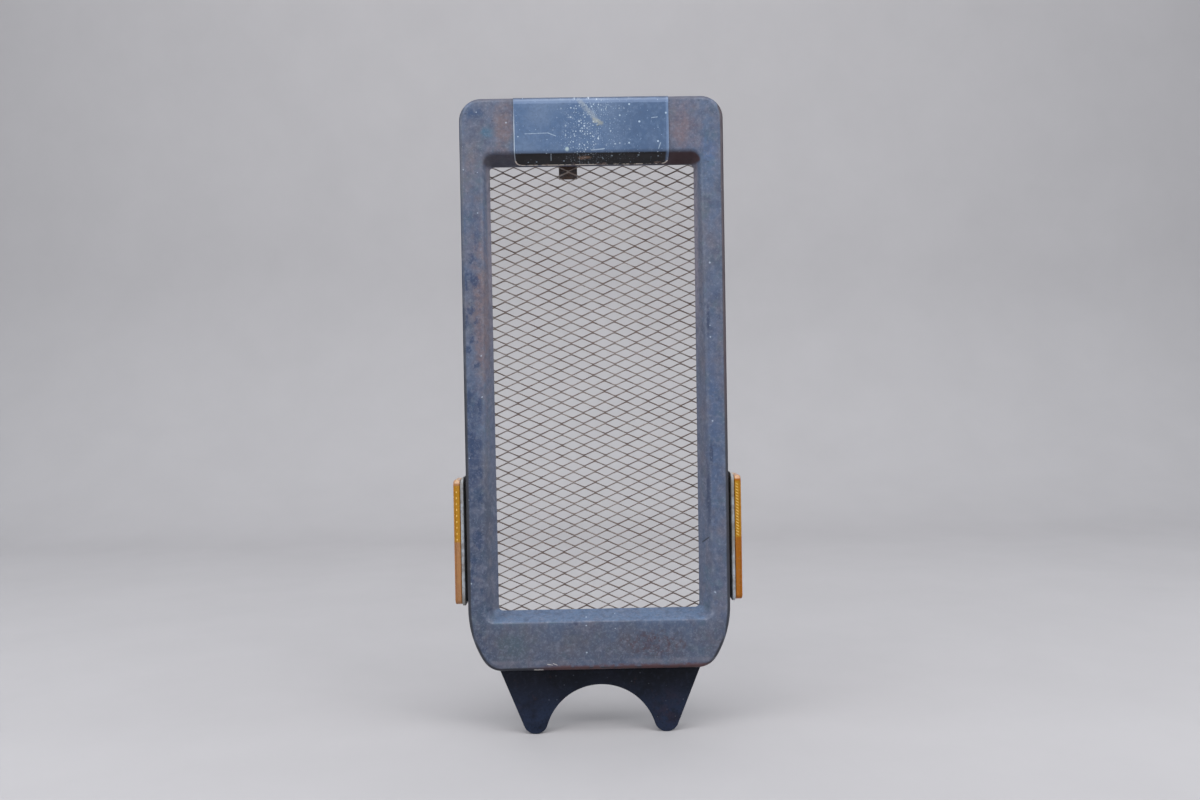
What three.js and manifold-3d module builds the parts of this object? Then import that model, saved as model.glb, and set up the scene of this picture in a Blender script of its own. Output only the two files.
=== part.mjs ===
// Radiator grille of a motorcycle: a pressed-steel ring with an expanded-metal screen behind its
// opening, a plate on the top bar, an apron with two ears under the chin and a reflex reflector on
// each side.
//
// Millimetres. +Z is up, -Y is the front and +X is the right-hand side seen from the front.
// The origin is under the middle of the object, at the tips of the two ears.

import * as THREE from 'three';
import { mergeGeometries, mergeVertices } from 'three/addons/utils/BufferGeometryUtils.js';
import Module from 'manifold-3d';

const wasm = await Module();
wasm.setup();

const degrees = Math.PI / 180;

// ---------------------------------------------------------------- driving dimensions

const GAP = 0.3; // clearance between two pieces that touch
const SHEET = 1.2; // thickness of the pressed steel

// Body outline: a rectangle with round top corners, whose sides curve in above the chin.
const BODY_WIDTH = 184;
const BODY_HEIGHT = 400;
const BODY_DEPTH = 36;
const EDGE_RADIUS = 3.5; // rounding between the front face and the skirt
const CORNER_RADIUS = 15.5;
const HIP_RADIUS = 69; // long curve of the lower sides
const HIP_ANGLE = 31.5 * degrees;

// Ears: how far their tips hang below the body.
const EAR_DROP = 48.1;

// Opening, measured in from the body's edges: where it leaves the face, and where it meets the mesh.
// `side` is the inset at the opening's top, and `spread` is how much wider each side is at its bottom.
const FACE_OPENING = { side: 16.3, spread: 4.4, top: 38.2, bottom: 34.7, radius: 7 };
const MESH_OPENING = { side: 19.8, spread: -0.8, top: 45.3, bottom: 40.1, radius: 3 };
const LIP_FRONT = 14; // depth of the turned lip behind the front face
const LIP_WIDTH = 10.8;
const BEVEL_SHEET = 1.25; // in-plane thickness of the drafted wall

// Mesh: a plate with diamonds at twice the pitch of the real expanded metal.
const DIAMOND_WIDTH = 30.4;
const DIAMOND_HEIGHT = 15;
const STRAND_WIDTH = 2.2;
const MESH_THICKNESS = 1;
const MESH_BORDER = 9; // how far the panel runs in behind the lip

// Retainer strips and the rivets that clamp the mesh.
const STRIP_THICKNESS = 1;
const STRIP_WIDTH = 8;
const STRIP_INSET = 2.3; // from the opening's edge to the strip
const RIVET_SHANK = 1.2;
const RIVET_HOLE = 1.5;
const RIVET_HEAD = 2.4;
const RIVET_HEAD_HEIGHT = 1.1;

// Plate on the top bar.
const BADGE_WIDTH = 107.6;
const BADGE_SHEET = 0.6;

// Apron under the chin.
const APRON_SHEET = 1.6;
const APRON_SETBACK = 12; // from the front face to the apron
const APRON_FLANGE = 16;
const APRON_BEND = 3;
const EAR_RADIUS = 8.8;
const EAR_SIDE_ANGLE = 22.1 * degrees;
const ARCH_RADIUS = 40;
const ARCH_BELOW_TIPS = 5.4; // centre of the arch, below the tips of the ears
const APRON_RIVET_SPACING = 50;
const APRON_RIVET_HOLE = 2;
const APRON_RIVET_SCALE = 1.4; // its radii, against those of a mesh rivet

// Reflectors on the sides. Distances run outwards from the skirt.
const REFLECTOR_HEIGHT = 90;
const REFLECTOR_WIDTH = 28;
const REFLECTOR_ABOVE_CHIN = 90.1;
const REFLECTOR_DEPTH = 20; // centre, behind the front face
const GASKET_THICKNESS = 1.5;
const BASE_THICKNESS = 2.2;
const LENS_THICKNESS = 4.9;
const LENS_WALL = 1.9;
const LENS_MARGIN = 1; // the base stands out this far around the lens
const LENS_EDGE = 1.2;
const STUD_RADIUS = 2.5;
const STUD_HOLE = 2.9;
const STUD_HEAD = 5;
const STUD_HEAD_HEIGHT = 1.2;
const STUD_BEYOND_NUT = 1.5;
const WASHER_THICKNESS = 1;
const WASHER_RADIUS = 5.5;
const NUT_ACROSS_FLATS = 8;
const NUT_HEIGHT = 4;

// Mounting tabs with a rubber grommet and a steel collar each.
const TAB_FROM_SIDE = 9.8; // centre of the hole, in from the skirt
const TAB_HEIGHT = 24;
const TAB_HOLE = 5.1;
const TAB_REAR = 34; // depth of the tab's rear face
const UPPER_TAB_BELOW_TOP = 62;
const LOWER_TAB_ABOVE_CHIN = 62;
const GROMMET_FLANGE = 6.8;
const COLLAR_RADIUS = 3.9;
const COLLAR_BORE = 3.1;

// Hanger bracket behind the top of the mesh.
const HANGER_OFFSET = -17;
const HANGER_WIDTH = 13;
const HANGER_DEPTH = 22;
const HANGER_BELOW_OPENING = 7.4;

// ---------------------------------------------------------------- places worked out from them

const BADGE_PROUD = GAP + BADGE_SHEET;
const FRONT = -(BODY_DEPTH + BADGE_PROUD) / 2 + BADGE_PROUD; // Y of the front face
const CHIN = EAR_DROP; // Z of the underside of the body
const TOP = CHIN + BODY_HEIGHT;
const HALF_WIDTH = BODY_WIDTH / 2;
const LIP_REAR = LIP_FRONT + SHEET;
const MESH_FRONT = LIP_REAR + GAP;
const MESH_REAR = MESH_FRONT + MESH_THICKNESS;
const STRIP_FRONT = MESH_REAR + GAP;
const STRIP_REAR = STRIP_FRONT + STRIP_THICKNESS;
const OPENING_HALF = HALF_WIDTH - MESH_OPENING.side;
const OPENING_TOP = TOP - MESH_OPENING.top;
const OPENING_BOTTOM = CHIN + MESH_OPENING.bottom;

// ---------------------------------------------------------------- materials

const finish = (color, roughness, metalness) => ({ color, roughness, metalness });
const FADED_PAINT = finish(0x5c6478, 0.55, 0.3);
const BADGE_PAINT = finish(0x4a5870, 0.45, 0.3);
const APRON_PAINT = finish(0x262b38, 0.5, 0.3);
const RUSTY_STEEL = finish(0x7a6458, 0.8, 0.6);
const ZINC_STEEL = finish(0x9a9a96, 0.45, 0.9);
const AMBER = finish(0xc8801e, 0.15, 0);
const GREY_PLASTIC = finish(0x77736e, 0.6, 0);
const BLACK_RUBBER = finish(0x161616, 0.85, 0);

const grille = new THREE.Group();

function addPiece(parent, name, geometry, look) {
  const mesh = new THREE.Mesh(geometry, new THREE.MeshStandardMaterial(look));
  mesh.name = name;
  parent.add(mesh);
  return mesh;
}

// ---------------------------------------------------------------- solids and booleans

// Merges shared corners and leaves out the empty triangles that merging makes.
function closedSurface(geometry) {
  const bare = geometry.index ? geometry.toNonIndexed() : geometry.clone();
  bare.deleteAttribute('normal');
  bare.deleteAttribute('uv');
  const merged = mergeVertices(bare, 1e-3);
  const corners = merged.index.array;
  const kept = [];
  for (let start = 0; start < corners.length; start += 3) {
    const [a, b, c] = corners.slice(start, start + 3);
    if (a !== b && b !== c && c !== a) kept.push(a, b, c);
  }
  merged.setIndex(kept);
  return merged;
}

function toSolid(geometry) {
  const surface = closedSurface(geometry);
  return new wasm.Manifold(new wasm.Mesh({
    numProp: 3,
    vertProperties: new Float32Array(surface.attributes.position.array),
    triVerts: new Uint32Array(surface.index.array),
  }));
}

function toGeometry(solid) {
  const { vertProperties, triVerts } = solid.getMesh();
  const geometry = new THREE.BufferGeometry();
  geometry.setAttribute('position', new THREE.BufferAttribute(vertProperties, 3));
  geometry.setIndex(new THREE.BufferAttribute(triVerts, 1));
  geometry.computeVertexNormals();
  return geometry;
}

function cut(geometry, ...cutters) {
  let solid = toSolid(geometry);
  for (const cutter of cutters) solid = solid.subtract(toSolid(cutter));
  return toGeometry(solid);
}

// An outline drawn in X and Z, made into a plate from depth `front` to depth `rear`.
function plate(shape, front, rear) {
  const geometry = new THREE.ExtrudeGeometry(shape, {
    depth: rear - front,
    bevelEnabled: false,
    curveSegments: 6,
  });
  geometry.rotateX(Math.PI / 2);
  return geometry.translate(0, FRONT + rear, 0);
}

// A section drawn in Y and Z, made into a bar of the given length centred on x.
function bar(shape, length, x = 0) {
  const geometry = new THREE.ExtrudeGeometry(shape, {
    depth: length,
    bevelEnabled: false,
    curveSegments: 3,
  });
  geometry.applyMatrix4(new THREE.Matrix4().makeBasis(
    new THREE.Vector3(0, 1, 0),
    new THREE.Vector3(0, 0, 1),
    new THREE.Vector3(1, 0, 0),
  ));
  return geometry.translate(x - length / 2, 0, 0);
}

function box(xRange, depthRange, zRange) {
  const size = [xRange, depthRange, zRange].map(([low, high]) => high - low);
  const middle = [xRange, depthRange, zRange].map(([low, high]) => (low + high) / 2);
  return new THREE.BoxGeometry(...size).translate(middle[0], FRONT + middle[1], middle[2]);
}

// A round pin along Y, for holes and shanks.
function pin(radius, front, rear, x, z, segments = 16) {
  const geometry = new THREE.CylinderGeometry(radius, radius, rear - front, segments);
  return geometry.translate(x, FRONT + (front + rear) / 2, z);
}

// A turned piece whose axis runs along Y. Its profile lists [radius, depth].
function turned(profile, x, z, segments = 16) {
  const points = profile.map(([radius, depth]) => new THREE.Vector2(radius, depth));
  const geometry = new THREE.LatheGeometry(points, segments);
  return geometry.translate(x, FRONT, z);
}

// ---------------------------------------------------------------- outlines

function bodyOutline() {
  const hipZ = CHIN + CORNER_RADIUS * (1 - Math.sin(HIP_ANGLE)) + HIP_RADIUS * Math.sin(HIP_ANGLE);
  const hipX = HALF_WIDTH - HIP_RADIUS;
  const chinX = hipX + (HIP_RADIUS - CORNER_RADIUS) * Math.cos(HIP_ANGLE);
  const chinZ = CHIN + CORNER_RADIUS;
  const cornerX = HALF_WIDTH - CORNER_RADIUS;
  const cornerZ = TOP - CORNER_RADIUS;
  const quarter = Math.PI / 2;
  const shape = new THREE.Shape();
  shape.absarc(cornerX, cornerZ, CORNER_RADIUS, 0, quarter, false);
  shape.absarc(-cornerX, cornerZ, CORNER_RADIUS, quarter, 2 * quarter, false);
  shape.absarc(-hipX, hipZ, HIP_RADIUS, 2 * quarter, 2 * quarter + HIP_ANGLE, false);
  shape.absarc(-chinX, chinZ, CORNER_RADIUS, 2 * quarter + HIP_ANGLE, 3 * quarter, false);
  shape.absarc(chinX, chinZ, CORNER_RADIUS, 3 * quarter, 4 * quarter - HIP_ANGLE, false);
  shape.absarc(hipX, hipZ, HIP_RADIUS, 4 * quarter - HIP_ANGLE, 4 * quarter, false);
  shape.closePath();
  return shape;
}

function roundedRectangle(halfWidth, bottom, top, radius) {
  const quarter = Math.PI / 2;
  const shape = new THREE.Shape();
  shape.absarc(halfWidth - radius, top - radius, radius, 0, quarter, false);
  shape.absarc(radius - halfWidth, top - radius, radius, quarter, 2 * quarter, false);
  shape.absarc(radius - halfWidth, bottom + radius, radius, 2 * quarter, 3 * quarter, false);
  shape.absarc(halfWidth - radius, bottom + radius, radius, 3 * quarter, 4 * quarter, false);
  shape.closePath();
  return shape;
}

// The opening's outline part of the way down the drafted wall: `along` is 0 at the face and 1 at
// the mesh, and `outward` moves the outline away from the opening.
function openingOutline(along, outward) {
  const value = (key) => THREE.MathUtils.lerp(FACE_OPENING[key], MESH_OPENING[key], along);
  const halfWidth = HALF_WIDTH - value('side') + outward;
  const bottom = CHIN + value('bottom') - outward;
  const top = TOP - value('top') + outward;
  const straight = roundedRectangle(halfWidth, bottom, top, value('radius') + outward);
  const points = straight.getPoints(3).map((point) => {
    const spread = value('spread') * (top - point.y) / (top - bottom);
    return new THREE.Vector2(point.x * (1 + spread / halfWidth), point.y);
  });
  const last = points.length - 1;
  if (points[0].distanceTo(points[last]) < 1e-6) points.pop();
  return new THREE.Shape(points);
}

// ---------------------------------------------------------------- shell

function pan(inset, front, rear) {
  const radius = EDGE_RADIUS - inset;
  const geometry = new THREE.ExtrudeGeometry(bodyOutline(), {
    depth: rear - front - radius,
    bevelEnabled: true,
    bevelThickness: radius,
    bevelSize: radius,
    bevelOffset: -EDGE_RADIUS,
    bevelSegments: 4,
    curveSegments: 3,
  });
  geometry.rotateX(Math.PI / 2);
  return geometry.translate(0, FRONT + rear, 0);
}

// The front half of a pan keeps its rounded edge, and its rear is cut off square.
function squarePan(inset, front, rear) {
  const tail = EDGE_RADIUS * 2;
  const whole = toSolid(pan(inset, front, rear));
  const offcut = box([-HALF_WIDTH * 2, HALF_WIDTH * 2], [rear, rear + tail], [CHIN - tail, TOP + tail]);
  return whole.subtract(toSolid(offcut));
}

// Wall of the opening: a soft edge at the face, the drafted wall, and a lip turned out behind it.
// Each row is how far along the wall, how far outward, and the depth.
const OPENING_WALL = [
  [0, 3.2, 0],
  [0, 2.2, 0],
  [0, 1, 0.22],
  [0, 0, 0.8],
  [0.12, 0, 2],
  [1, 0, LIP_REAR],
  [1, LIP_WIDTH, LIP_REAR],
  [1, LIP_WIDTH, LIP_FRONT],
  [1, BEVEL_SHEET, LIP_FRONT],
  [0.12, BEVEL_SHEET, 2.4],
  [0, 1.9, 1.4],
  [0, 3.2, SHEET],
];

function openingWall() {
  const loops = OPENING_WALL.map(([along, outward, depth]) => {
    const points = openingOutline(along, outward).getPoints();
    return points.map((point) => [point.x, FRONT + depth, point.y]);
  });
  const count = loops[0].length;
  const index = [];
  for (let ring = 0; ring < loops.length; ring += 1) {
    const nextRing = (ring + 1) % loops.length;
    for (let step = 0; step < count; step += 1) {
      const nextStep = (step + 1) % count;
      const corner = ring * count + step;
      const across = ring * count + nextStep;
      const below = nextRing * count + step;
      const diagonal = nextRing * count + nextStep;
      index.push(corner, across, diagonal, corner, diagonal, below);
    }
  }
  const geometry = new THREE.BufferGeometry();
  geometry.setAttribute('position', new THREE.Float32BufferAttribute(loops.flat(2), 3));
  geometry.setIndex(index);
  return geometry;
}

function grilleShell() {
  const faceHole = plate(openingOutline(0, 2.7), -1, BODY_DEPTH);
  let shell = squarePan(0, 0, BODY_DEPTH).subtract(squarePan(SHEET, SHEET, BODY_DEPTH + 1));
  shell = shell.subtract(toSolid(faceHole)).add(toSolid(openingWall()));
  for (const [x, z] of rivetPlaces()) {
    shell = shell.subtract(toSolid(pin(RIVET_HOLE, LIP_FRONT - 1, LIP_REAR + 1, x, z, 8)));
  }
  for (const x of apronRivetPlaces()) {
    shell = shell.subtract(toSolid(verticalPin(APRON_RIVET_HOLE, CHIN - 1, CHIN + SHEET + 1, x)));
  }
  const studHoles = new THREE.CylinderGeometry(STUD_HOLE, STUD_HOLE, BODY_WIDTH + 2, 12);
  studHoles.rotateZ(Math.PI / 2).translate(0, FRONT + REFLECTOR_DEPTH, CHIN + REFLECTOR_ABOVE_CHIN);
  return toGeometry(shell.subtract(toSolid(studHoles)));
}

// ---------------------------------------------------------------- mesh, retainers and rivets

const STRIP_MIDDLE = STRIP_INSET + STRIP_WIDTH / 2;

// Three rivets down each side, two along the top and two along the bottom.
function rivetPlaces() {
  const sideX = OPENING_HALF + STRIP_MIDDLE;
  const middle = (OPENING_TOP + OPENING_BOTTOM) / 2;
  const reach = (OPENING_TOP - OPENING_BOTTOM) * 0.42;
  const places = [];
  for (const x of [-sideX, sideX]) {
    for (const z of [middle - reach, middle, middle + reach]) places.push([x, z]);
  }
  for (const z of [OPENING_BOTTOM - STRIP_MIDDLE, OPENING_TOP + STRIP_MIDDLE]) {
    for (const x of [-OPENING_HALF / 2, OPENING_HALF / 2]) places.push([x, z]);
  }
  return places;
}

// Diamond prisms of the mesh, set in rows that are half a diamond apart.
function diamonds() {
  const halfWidth = DIAMOND_WIDTH / 2 - STRAND_WIDTH;
  const halfHeight = halfWidth * DIAMOND_HEIGHT / DIAMOND_WIDTH;
  const shape = new THREE.Shape();
  shape.moveTo(halfWidth, 0);
  shape.lineTo(0, halfHeight);
  shape.lineTo(-halfWidth, 0);
  shape.lineTo(0, -halfHeight);
  shape.closePath();
  const diamond = plate(shape, MESH_FRONT - 1, MESH_REAR + 1);
  const rows = Math.ceil((OPENING_TOP - OPENING_BOTTOM) / DIAMOND_HEIGHT) + 1;
  const columns = Math.ceil(OPENING_HALF / DIAMOND_WIDTH) + 1;
  const copies = [];
  for (let row = 0; row <= rows * 2; row += 1) {
    const shift = (row % 2) / 2;
    for (let column = -columns; column <= columns; column += 1) {
      const x = (column + shift) * DIAMOND_WIDTH;
      const z = OPENING_TOP - row * DIAMOND_HEIGHT / 2;
      copies.push(diamond.clone().translate(x, 0, z));
    }
  }
  return toSolid(mergeGeometries(copies));
}

function meshScreen() {
  const half = OPENING_HALF + MESH_BORDER;
  const rows = [OPENING_BOTTOM - MESH_BORDER, OPENING_TOP + MESH_BORDER];
  const panel = toSolid(box([-half, half], [MESH_FRONT, MESH_REAR], rows));
  const window = toSolid(box(
    [-OPENING_HALF - 1, OPENING_HALF + 1],
    [MESH_FRONT - 2, MESH_REAR + 2],
    [OPENING_BOTTOM - 1, OPENING_TOP + 1],
  ));
  let screen = panel.subtract(diamonds().intersect(window));
  for (const [x, z] of rivetPlaces()) {
    screen = screen.subtract(toSolid(pin(RIVET_HOLE, MESH_FRONT - 1, MESH_REAR + 1, x, z, 8)));
  }
  return toGeometry(screen);
}

function addRetainers() {
  const inner = OPENING_HALF + STRIP_INSET;
  const low = OPENING_BOTTOM - STRIP_INSET;
  const high = OPENING_TOP + STRIP_INSET;
  const strips = {
    left: [[-inner - STRIP_WIDTH, -inner], [low - STRIP_WIDTH, high + STRIP_WIDTH]],
    right: [[inner, inner + STRIP_WIDTH], [low - STRIP_WIDTH, high + STRIP_WIDTH]],
    bottom: [[GAP - inner, inner - GAP], [low - STRIP_WIDTH, low]],
    top: [[GAP - inner, inner - GAP], [high, high + STRIP_WIDTH]],
  };
  for (const [side, [xRange, zRange]] of Object.entries(strips)) {
    const strip = box(xRange, [STRIP_FRONT, STRIP_REAR], zRange);
    const holes = rivetPlaces()
      .filter(([x, z]) => x > xRange[0] && x < xRange[1] && z > zRange[0] && z < zRange[1])
      .map(([x, z]) => pin(RIVET_HOLE, STRIP_FRONT - 1, STRIP_REAR + 1, x, z, 8));
    addPiece(grille, `mesh_retainer_${side}`, cut(strip, ...holes), RUSTY_STEEL);
  }
}

// A rivet that holds everything between the two depths, its heads a gap away.
function rivetProfile(front, rear) {
  const headFront = front - GAP - RIVET_HEAD_HEIGHT;
  const headRear = rear + GAP + RIVET_HEAD_HEIGHT;
  return [
    [0, headFront],
    [RIVET_HEAD * 0.7, headFront],
    [RIVET_HEAD, front - GAP],
    [RIVET_SHANK, front - GAP],
    [RIVET_SHANK, rear + GAP],
    [RIVET_HEAD, rear + GAP],
    [RIVET_HEAD * 0.7, headRear],
    [0, headRear],
  ];
}

function addMeshRivets() {
  rivetPlaces().forEach(([x, z], place) => {
    const rivet = turned(rivetProfile(LIP_FRONT, STRIP_REAR), x, z, 8);
    addPiece(grille, `mesh_rivet_${place + 1}`, rivet, ZINC_STEEL);
  });
}

// ---------------------------------------------------------------- badge plate

// The front surface of the top bar in depth and Z, from the rounded top edge to the drafted wall.
function topBarSurface() {
  const points = [];
  for (const angle of [50, 25]) {
    const turn = angle * degrees;
    points.push(new THREE.Vector2(
      EDGE_RADIUS * (1 - Math.cos(turn)),
      TOP - EDGE_RADIUS * (1 - Math.sin(turn)),
    ));
  }
  points.push(new THREE.Vector2(0, TOP - EDGE_RADIUS));
  const wallEnd = [0.86, 0, THREE.MathUtils.lerp(2, LIP_REAR, 0.84)];
  for (const [along, outward, depth] of [...OPENING_WALL.slice(1, 5), wallEnd]) {
    const inset = THREE.MathUtils.lerp(FACE_OPENING.top, MESH_OPENING.top, along);
    points.push(new THREE.Vector2(depth, TOP - inset + outward));
  }
  return points;
}

// Moves a line of points away from the metal, towards the front and into the opening.
function offsetLine(points, distance) {
  return points.map((point, place) => {
    const before = points[Math.max(place - 1, 0)];
    const after = points[Math.min(place + 1, points.length - 1)];
    const along = after.clone().sub(before).normalize();
    return new THREE.Vector2(point.x + along.y * distance, point.y - along.x * distance);
  });
}

function badgePlate() {
  const surface = topBarSurface();
  const back = offsetLine(surface, GAP);
  const front = offsetLine(surface, BADGE_PROUD);
  const section = new THREE.Shape([...back, ...front.reverse()]
    .map((point) => new THREE.Vector2(FRONT + point.x, point.y)));
  return bar(section, BADGE_WIDTH);
}

// ---------------------------------------------------------------- apron

const FLANGE_TOP = CHIN - GAP;
const APRON_RIVET_DEPTH = APRON_SETBACK + APRON_FLANGE / 2 + 1; // behind the front face

function apronOutline() {
  const reach = ARCH_RADIUS + EAR_RADIUS;
  const rise = EAR_RADIUS + ARCH_BELOW_TIPS;
  const earX = Math.sqrt(reach * reach - rise * rise);
  const lean = Math.asin(rise / reach); // slope of the line from the arch's centre to the ear's
  const tangentX = earX + EAR_RADIUS * Math.cos(EAR_SIDE_ANGLE);
  const tangentZ = EAR_RADIUS * (1 - Math.sin(EAR_SIDE_ANGLE));
  const topX = tangentX + (FLANGE_TOP - tangentZ) * Math.tan(EAR_SIDE_ANGLE);
  const shape = new THREE.Shape();
  shape.moveTo(-topX, FLANGE_TOP);
  shape.lineTo(-tangentX, tangentZ);
  shape.absarc(-earX, EAR_RADIUS, EAR_RADIUS, Math.PI + EAR_SIDE_ANGLE, 2 * Math.PI - lean, false);
  shape.absarc(0, -ARCH_BELOW_TIPS, ARCH_RADIUS, Math.PI - lean, lean, true);
  shape.absarc(earX, EAR_RADIUS, EAR_RADIUS, Math.PI + lean, 2 * Math.PI - EAR_SIDE_ANGLE, false);
  shape.lineTo(topX, FLANGE_TOP);
  shape.closePath();
  return shape;
}

// Sheet bent back along its top edge, drawn in depth and Z.
function apronSection() {
  const front = FRONT + APRON_SETBACK;
  const rear = front + APRON_FLANGE;
  const inner = APRON_BEND - APRON_SHEET;
  const bendY = front + APRON_BEND;
  const bendZ = FLANGE_TOP - APRON_BEND;
  const shape = new THREE.Shape();
  shape.moveTo(front, -1);
  shape.lineTo(front + APRON_SHEET, -1);
  shape.absarc(bendY, bendZ, inner, Math.PI, Math.PI / 2, true);
  shape.lineTo(rear, FLANGE_TOP - APRON_SHEET);
  shape.lineTo(rear, FLANGE_TOP);
  shape.absarc(bendY, bendZ, APRON_BEND, Math.PI / 2, Math.PI, false);
  shape.closePath();
  return shape;
}

function verticalPin(radius, low, high, x) {
  const geometry = new THREE.CylinderGeometry(radius, radius, high - low, 10);
  return geometry.rotateX(Math.PI / 2).translate(x, FRONT + APRON_RIVET_DEPTH, (low + high) / 2);
}

function apronRivetPlaces() {
  return [-APRON_RIVET_SPACING, 0, APRON_RIVET_SPACING];
}

function apronPlate() {
  const bent = toSolid(bar(apronSection(), BODY_WIDTH));
  let apron = bent.intersect(toSolid(plate(apronOutline(), 0, BODY_DEPTH)));
  for (const x of apronRivetPlaces()) {
    const hole = verticalPin(APRON_RIVET_HOLE, FLANGE_TOP - APRON_SHEET - 1, FLANGE_TOP + 1, x);
    apron = apron.subtract(toSolid(hole));
  }
  return toGeometry(apron);
}

function addApronRivets() {
  const names = ['left', 'centre', 'right'];
  const low = FLANGE_TOP - APRON_SHEET;
  const high = CHIN + SHEET;
  apronRivetPlaces().forEach((x, place) => {
    const points = rivetProfile(low, high)
      .map(([radius, z]) => new THREE.Vector2(radius * APRON_RIVET_SCALE, z));
    const rivet = new THREE.LatheGeometry(points, 10);
    rivet.rotateX(Math.PI / 2).translate(x, FRONT + APRON_RIVET_DEPTH, 0);
    addPiece(grille, `apron_rivet_${names[place]}`, rivet, ZINC_STEEL);
  });
}

// ---------------------------------------------------------------- reflectors

// A flat piece of a reflector: its outline in Y and Z, made thick outwards along X.
function layer(shape, from, to, bevel = 0) {
  const geometry = new THREE.ExtrudeGeometry(shape, {
    depth: to - from - bevel,
    bevelEnabled: bevel > 0,
    bevelThickness: bevel,
    bevelSize: bevel,
    bevelOffset: -bevel,
    bevelSegments: 2,
    curveSegments: 2,
  });
  geometry.applyMatrix4(new THREE.Matrix4().makeBasis(
    new THREE.Vector3(0, 1, 0),
    new THREE.Vector3(0, 0, 1),
    new THREE.Vector3(1, 0, 0),
  ));
  return geometry.translate(from, 0, 0);
}

function softRectangle(width, height, radius) {
  return roundedRectangle(width / 2, -height / 2, height / 2, radius);
}

function disc(radius, segments) {
  const shape = new THREE.Shape();
  for (let step = 0; step < segments; step += 1) {
    const turn = (step / segments) * 2 * Math.PI;
    const corner = new THREE.Vector2(radius * Math.cos(turn), radius * Math.sin(turn));
    if (step === 0) shape.moveTo(corner.x, corner.y);
    else shape.lineTo(corner.x, corner.y);
  }
  shape.closePath();
  return shape;
}

function ring(radius, hole, segments) {
  const shape = disc(radius, segments);
  shape.holes.push(disc(hole, 12));
  return shape;
}

// A tray of amber plastic, open towards the base. The layer is rounded on both of its faces, so
// its inner half is cut off.
function lens(from) {
  const width = REFLECTOR_WIDTH - LENS_MARGIN * 2;
  const height = REFLECTOR_HEIGHT - LENS_MARGIN * 2;
  const body = layer(softRectangle(width, height, 4), from, from + LENS_THICKNESS, LENS_EDGE);
  const offcut = layer(softRectangle(width * 2, height * 2, 1), from - LENS_EDGE * 2, from);
  const wall = LENS_WALL * 2;
  const pocketShape = softRectangle(width - wall, height - wall, 2.5);
  const pocket = layer(pocketShape, from - 1, from + LENS_THICKNESS - LENS_WALL);
  return cut(body, offcut, pocket);
}

function stud(end, headFrom) {
  const headTo = headFrom + STUD_HEAD_HEIGHT;
  const profile = [
    [0, end],
    [STUD_RADIUS - 0.4, end],
    [STUD_RADIUS, end + 0.6],
    [STUD_RADIUS, headFrom],
    [STUD_HEAD, headFrom],
    [STUD_HEAD, headTo],
    [0, headTo],
  ];
  const points = profile.map(([radius, height]) => new THREE.Vector2(radius, height));
  return new THREE.LatheGeometry(points, 12).rotateZ(-Math.PI / 2);
}

// Builds one reflector around the hole in the skirt, facing +X.
function addReflector(side, direction) {
  const reflector = new THREE.Group();
  reflector.position.set(
    direction * HALF_WIDTH,
    FRONT + REFLECTOR_DEPTH,
    CHIN + REFLECTOR_ABOVE_CHIN,
  );
  if (direction < 0) reflector.rotation.z = Math.PI;
  grille.add(reflector);

  const gasketFrom = GAP;
  const baseFrom = gasketFrom + GASKET_THICKNESS + GAP;
  const lensFrom = baseFrom + BASE_THICKNESS + GAP;
  const washerTo = -SHEET - GAP;
  const washerFrom = washerTo - WASHER_THICKNESS;
  const nutTo = washerFrom - GAP;
  const nutFrom = nutTo - NUT_HEIGHT;

  const gasketShape = softRectangle(REFLECTOR_WIDTH - 4, REFLECTOR_HEIGHT - 6, 3);
  gasketShape.holes.push(disc(STUD_HOLE, 12));
  const gasket = layer(gasketShape, gasketFrom, gasketFrom + GASKET_THICKNESS);
  addPiece(reflector, `reflector_gasket_${side}`, gasket, BLACK_RUBBER);

  const baseShape = softRectangle(REFLECTOR_WIDTH, REFLECTOR_HEIGHT, 4.5);
  baseShape.holes.push(disc(STUD_HOLE, 12));
  const base = layer(baseShape, baseFrom, baseFrom + BASE_THICKNESS);
  addPiece(reflector, `reflector_base_${side}`, base, GREY_PLASTIC);

  addPiece(reflector, `reflector_lens_${side}`, lens(lensFrom), AMBER);
  addPiece(reflector, `reflector_stud_${side}`, stud(nutFrom - STUD_BEYOND_NUT, lensFrom), ZINC_STEEL);

  const washer = layer(ring(WASHER_RADIUS, STUD_HOLE, 12), washerFrom, washerTo);
  addPiece(reflector, `reflector_washer_${side}`, washer, ZINC_STEEL);

  const nutShape = ring(NUT_ACROSS_FLATS / 2 / Math.cos(30 * degrees), STUD_HOLE, 6);
  const nut = layer(nutShape, nutFrom, nutTo);
  addPiece(reflector, `reflector_nut_${side}`, nut, ZINC_STEEL);
}

// ---------------------------------------------------------------- mounting points

// Angle tab: one leg flat on the inside of the skirt, the other across behind it with the hole.
function mountTab(direction, x, z) {
  const wall = HALF_WIDTH - SHEET - GAP;
  const inner = Math.abs(x) - GROMMET_FLANGE - 0.2;
  const front = TAB_REAR - 14;
  const zRange = [z - TAB_HEIGHT / 2, z + TAB_HEIGHT / 2];
  const across = [inner, wall].map((value) => value * direction).sort((a, b) => a - b);
  const flat = [wall - SHEET, wall].map((value) => value * direction).sort((a, b) => a - b);
  const leg = toSolid(box(across, [TAB_REAR - SHEET, TAB_REAR], zRange));
  const foot = toSolid(box(flat, [front, TAB_REAR], zRange));
  const hole = toSolid(pin(TAB_HOLE, TAB_REAR - SHEET - 1, TAB_REAR + 1, x, z));
  return toGeometry(leg.add(foot).subtract(hole));
}

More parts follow.
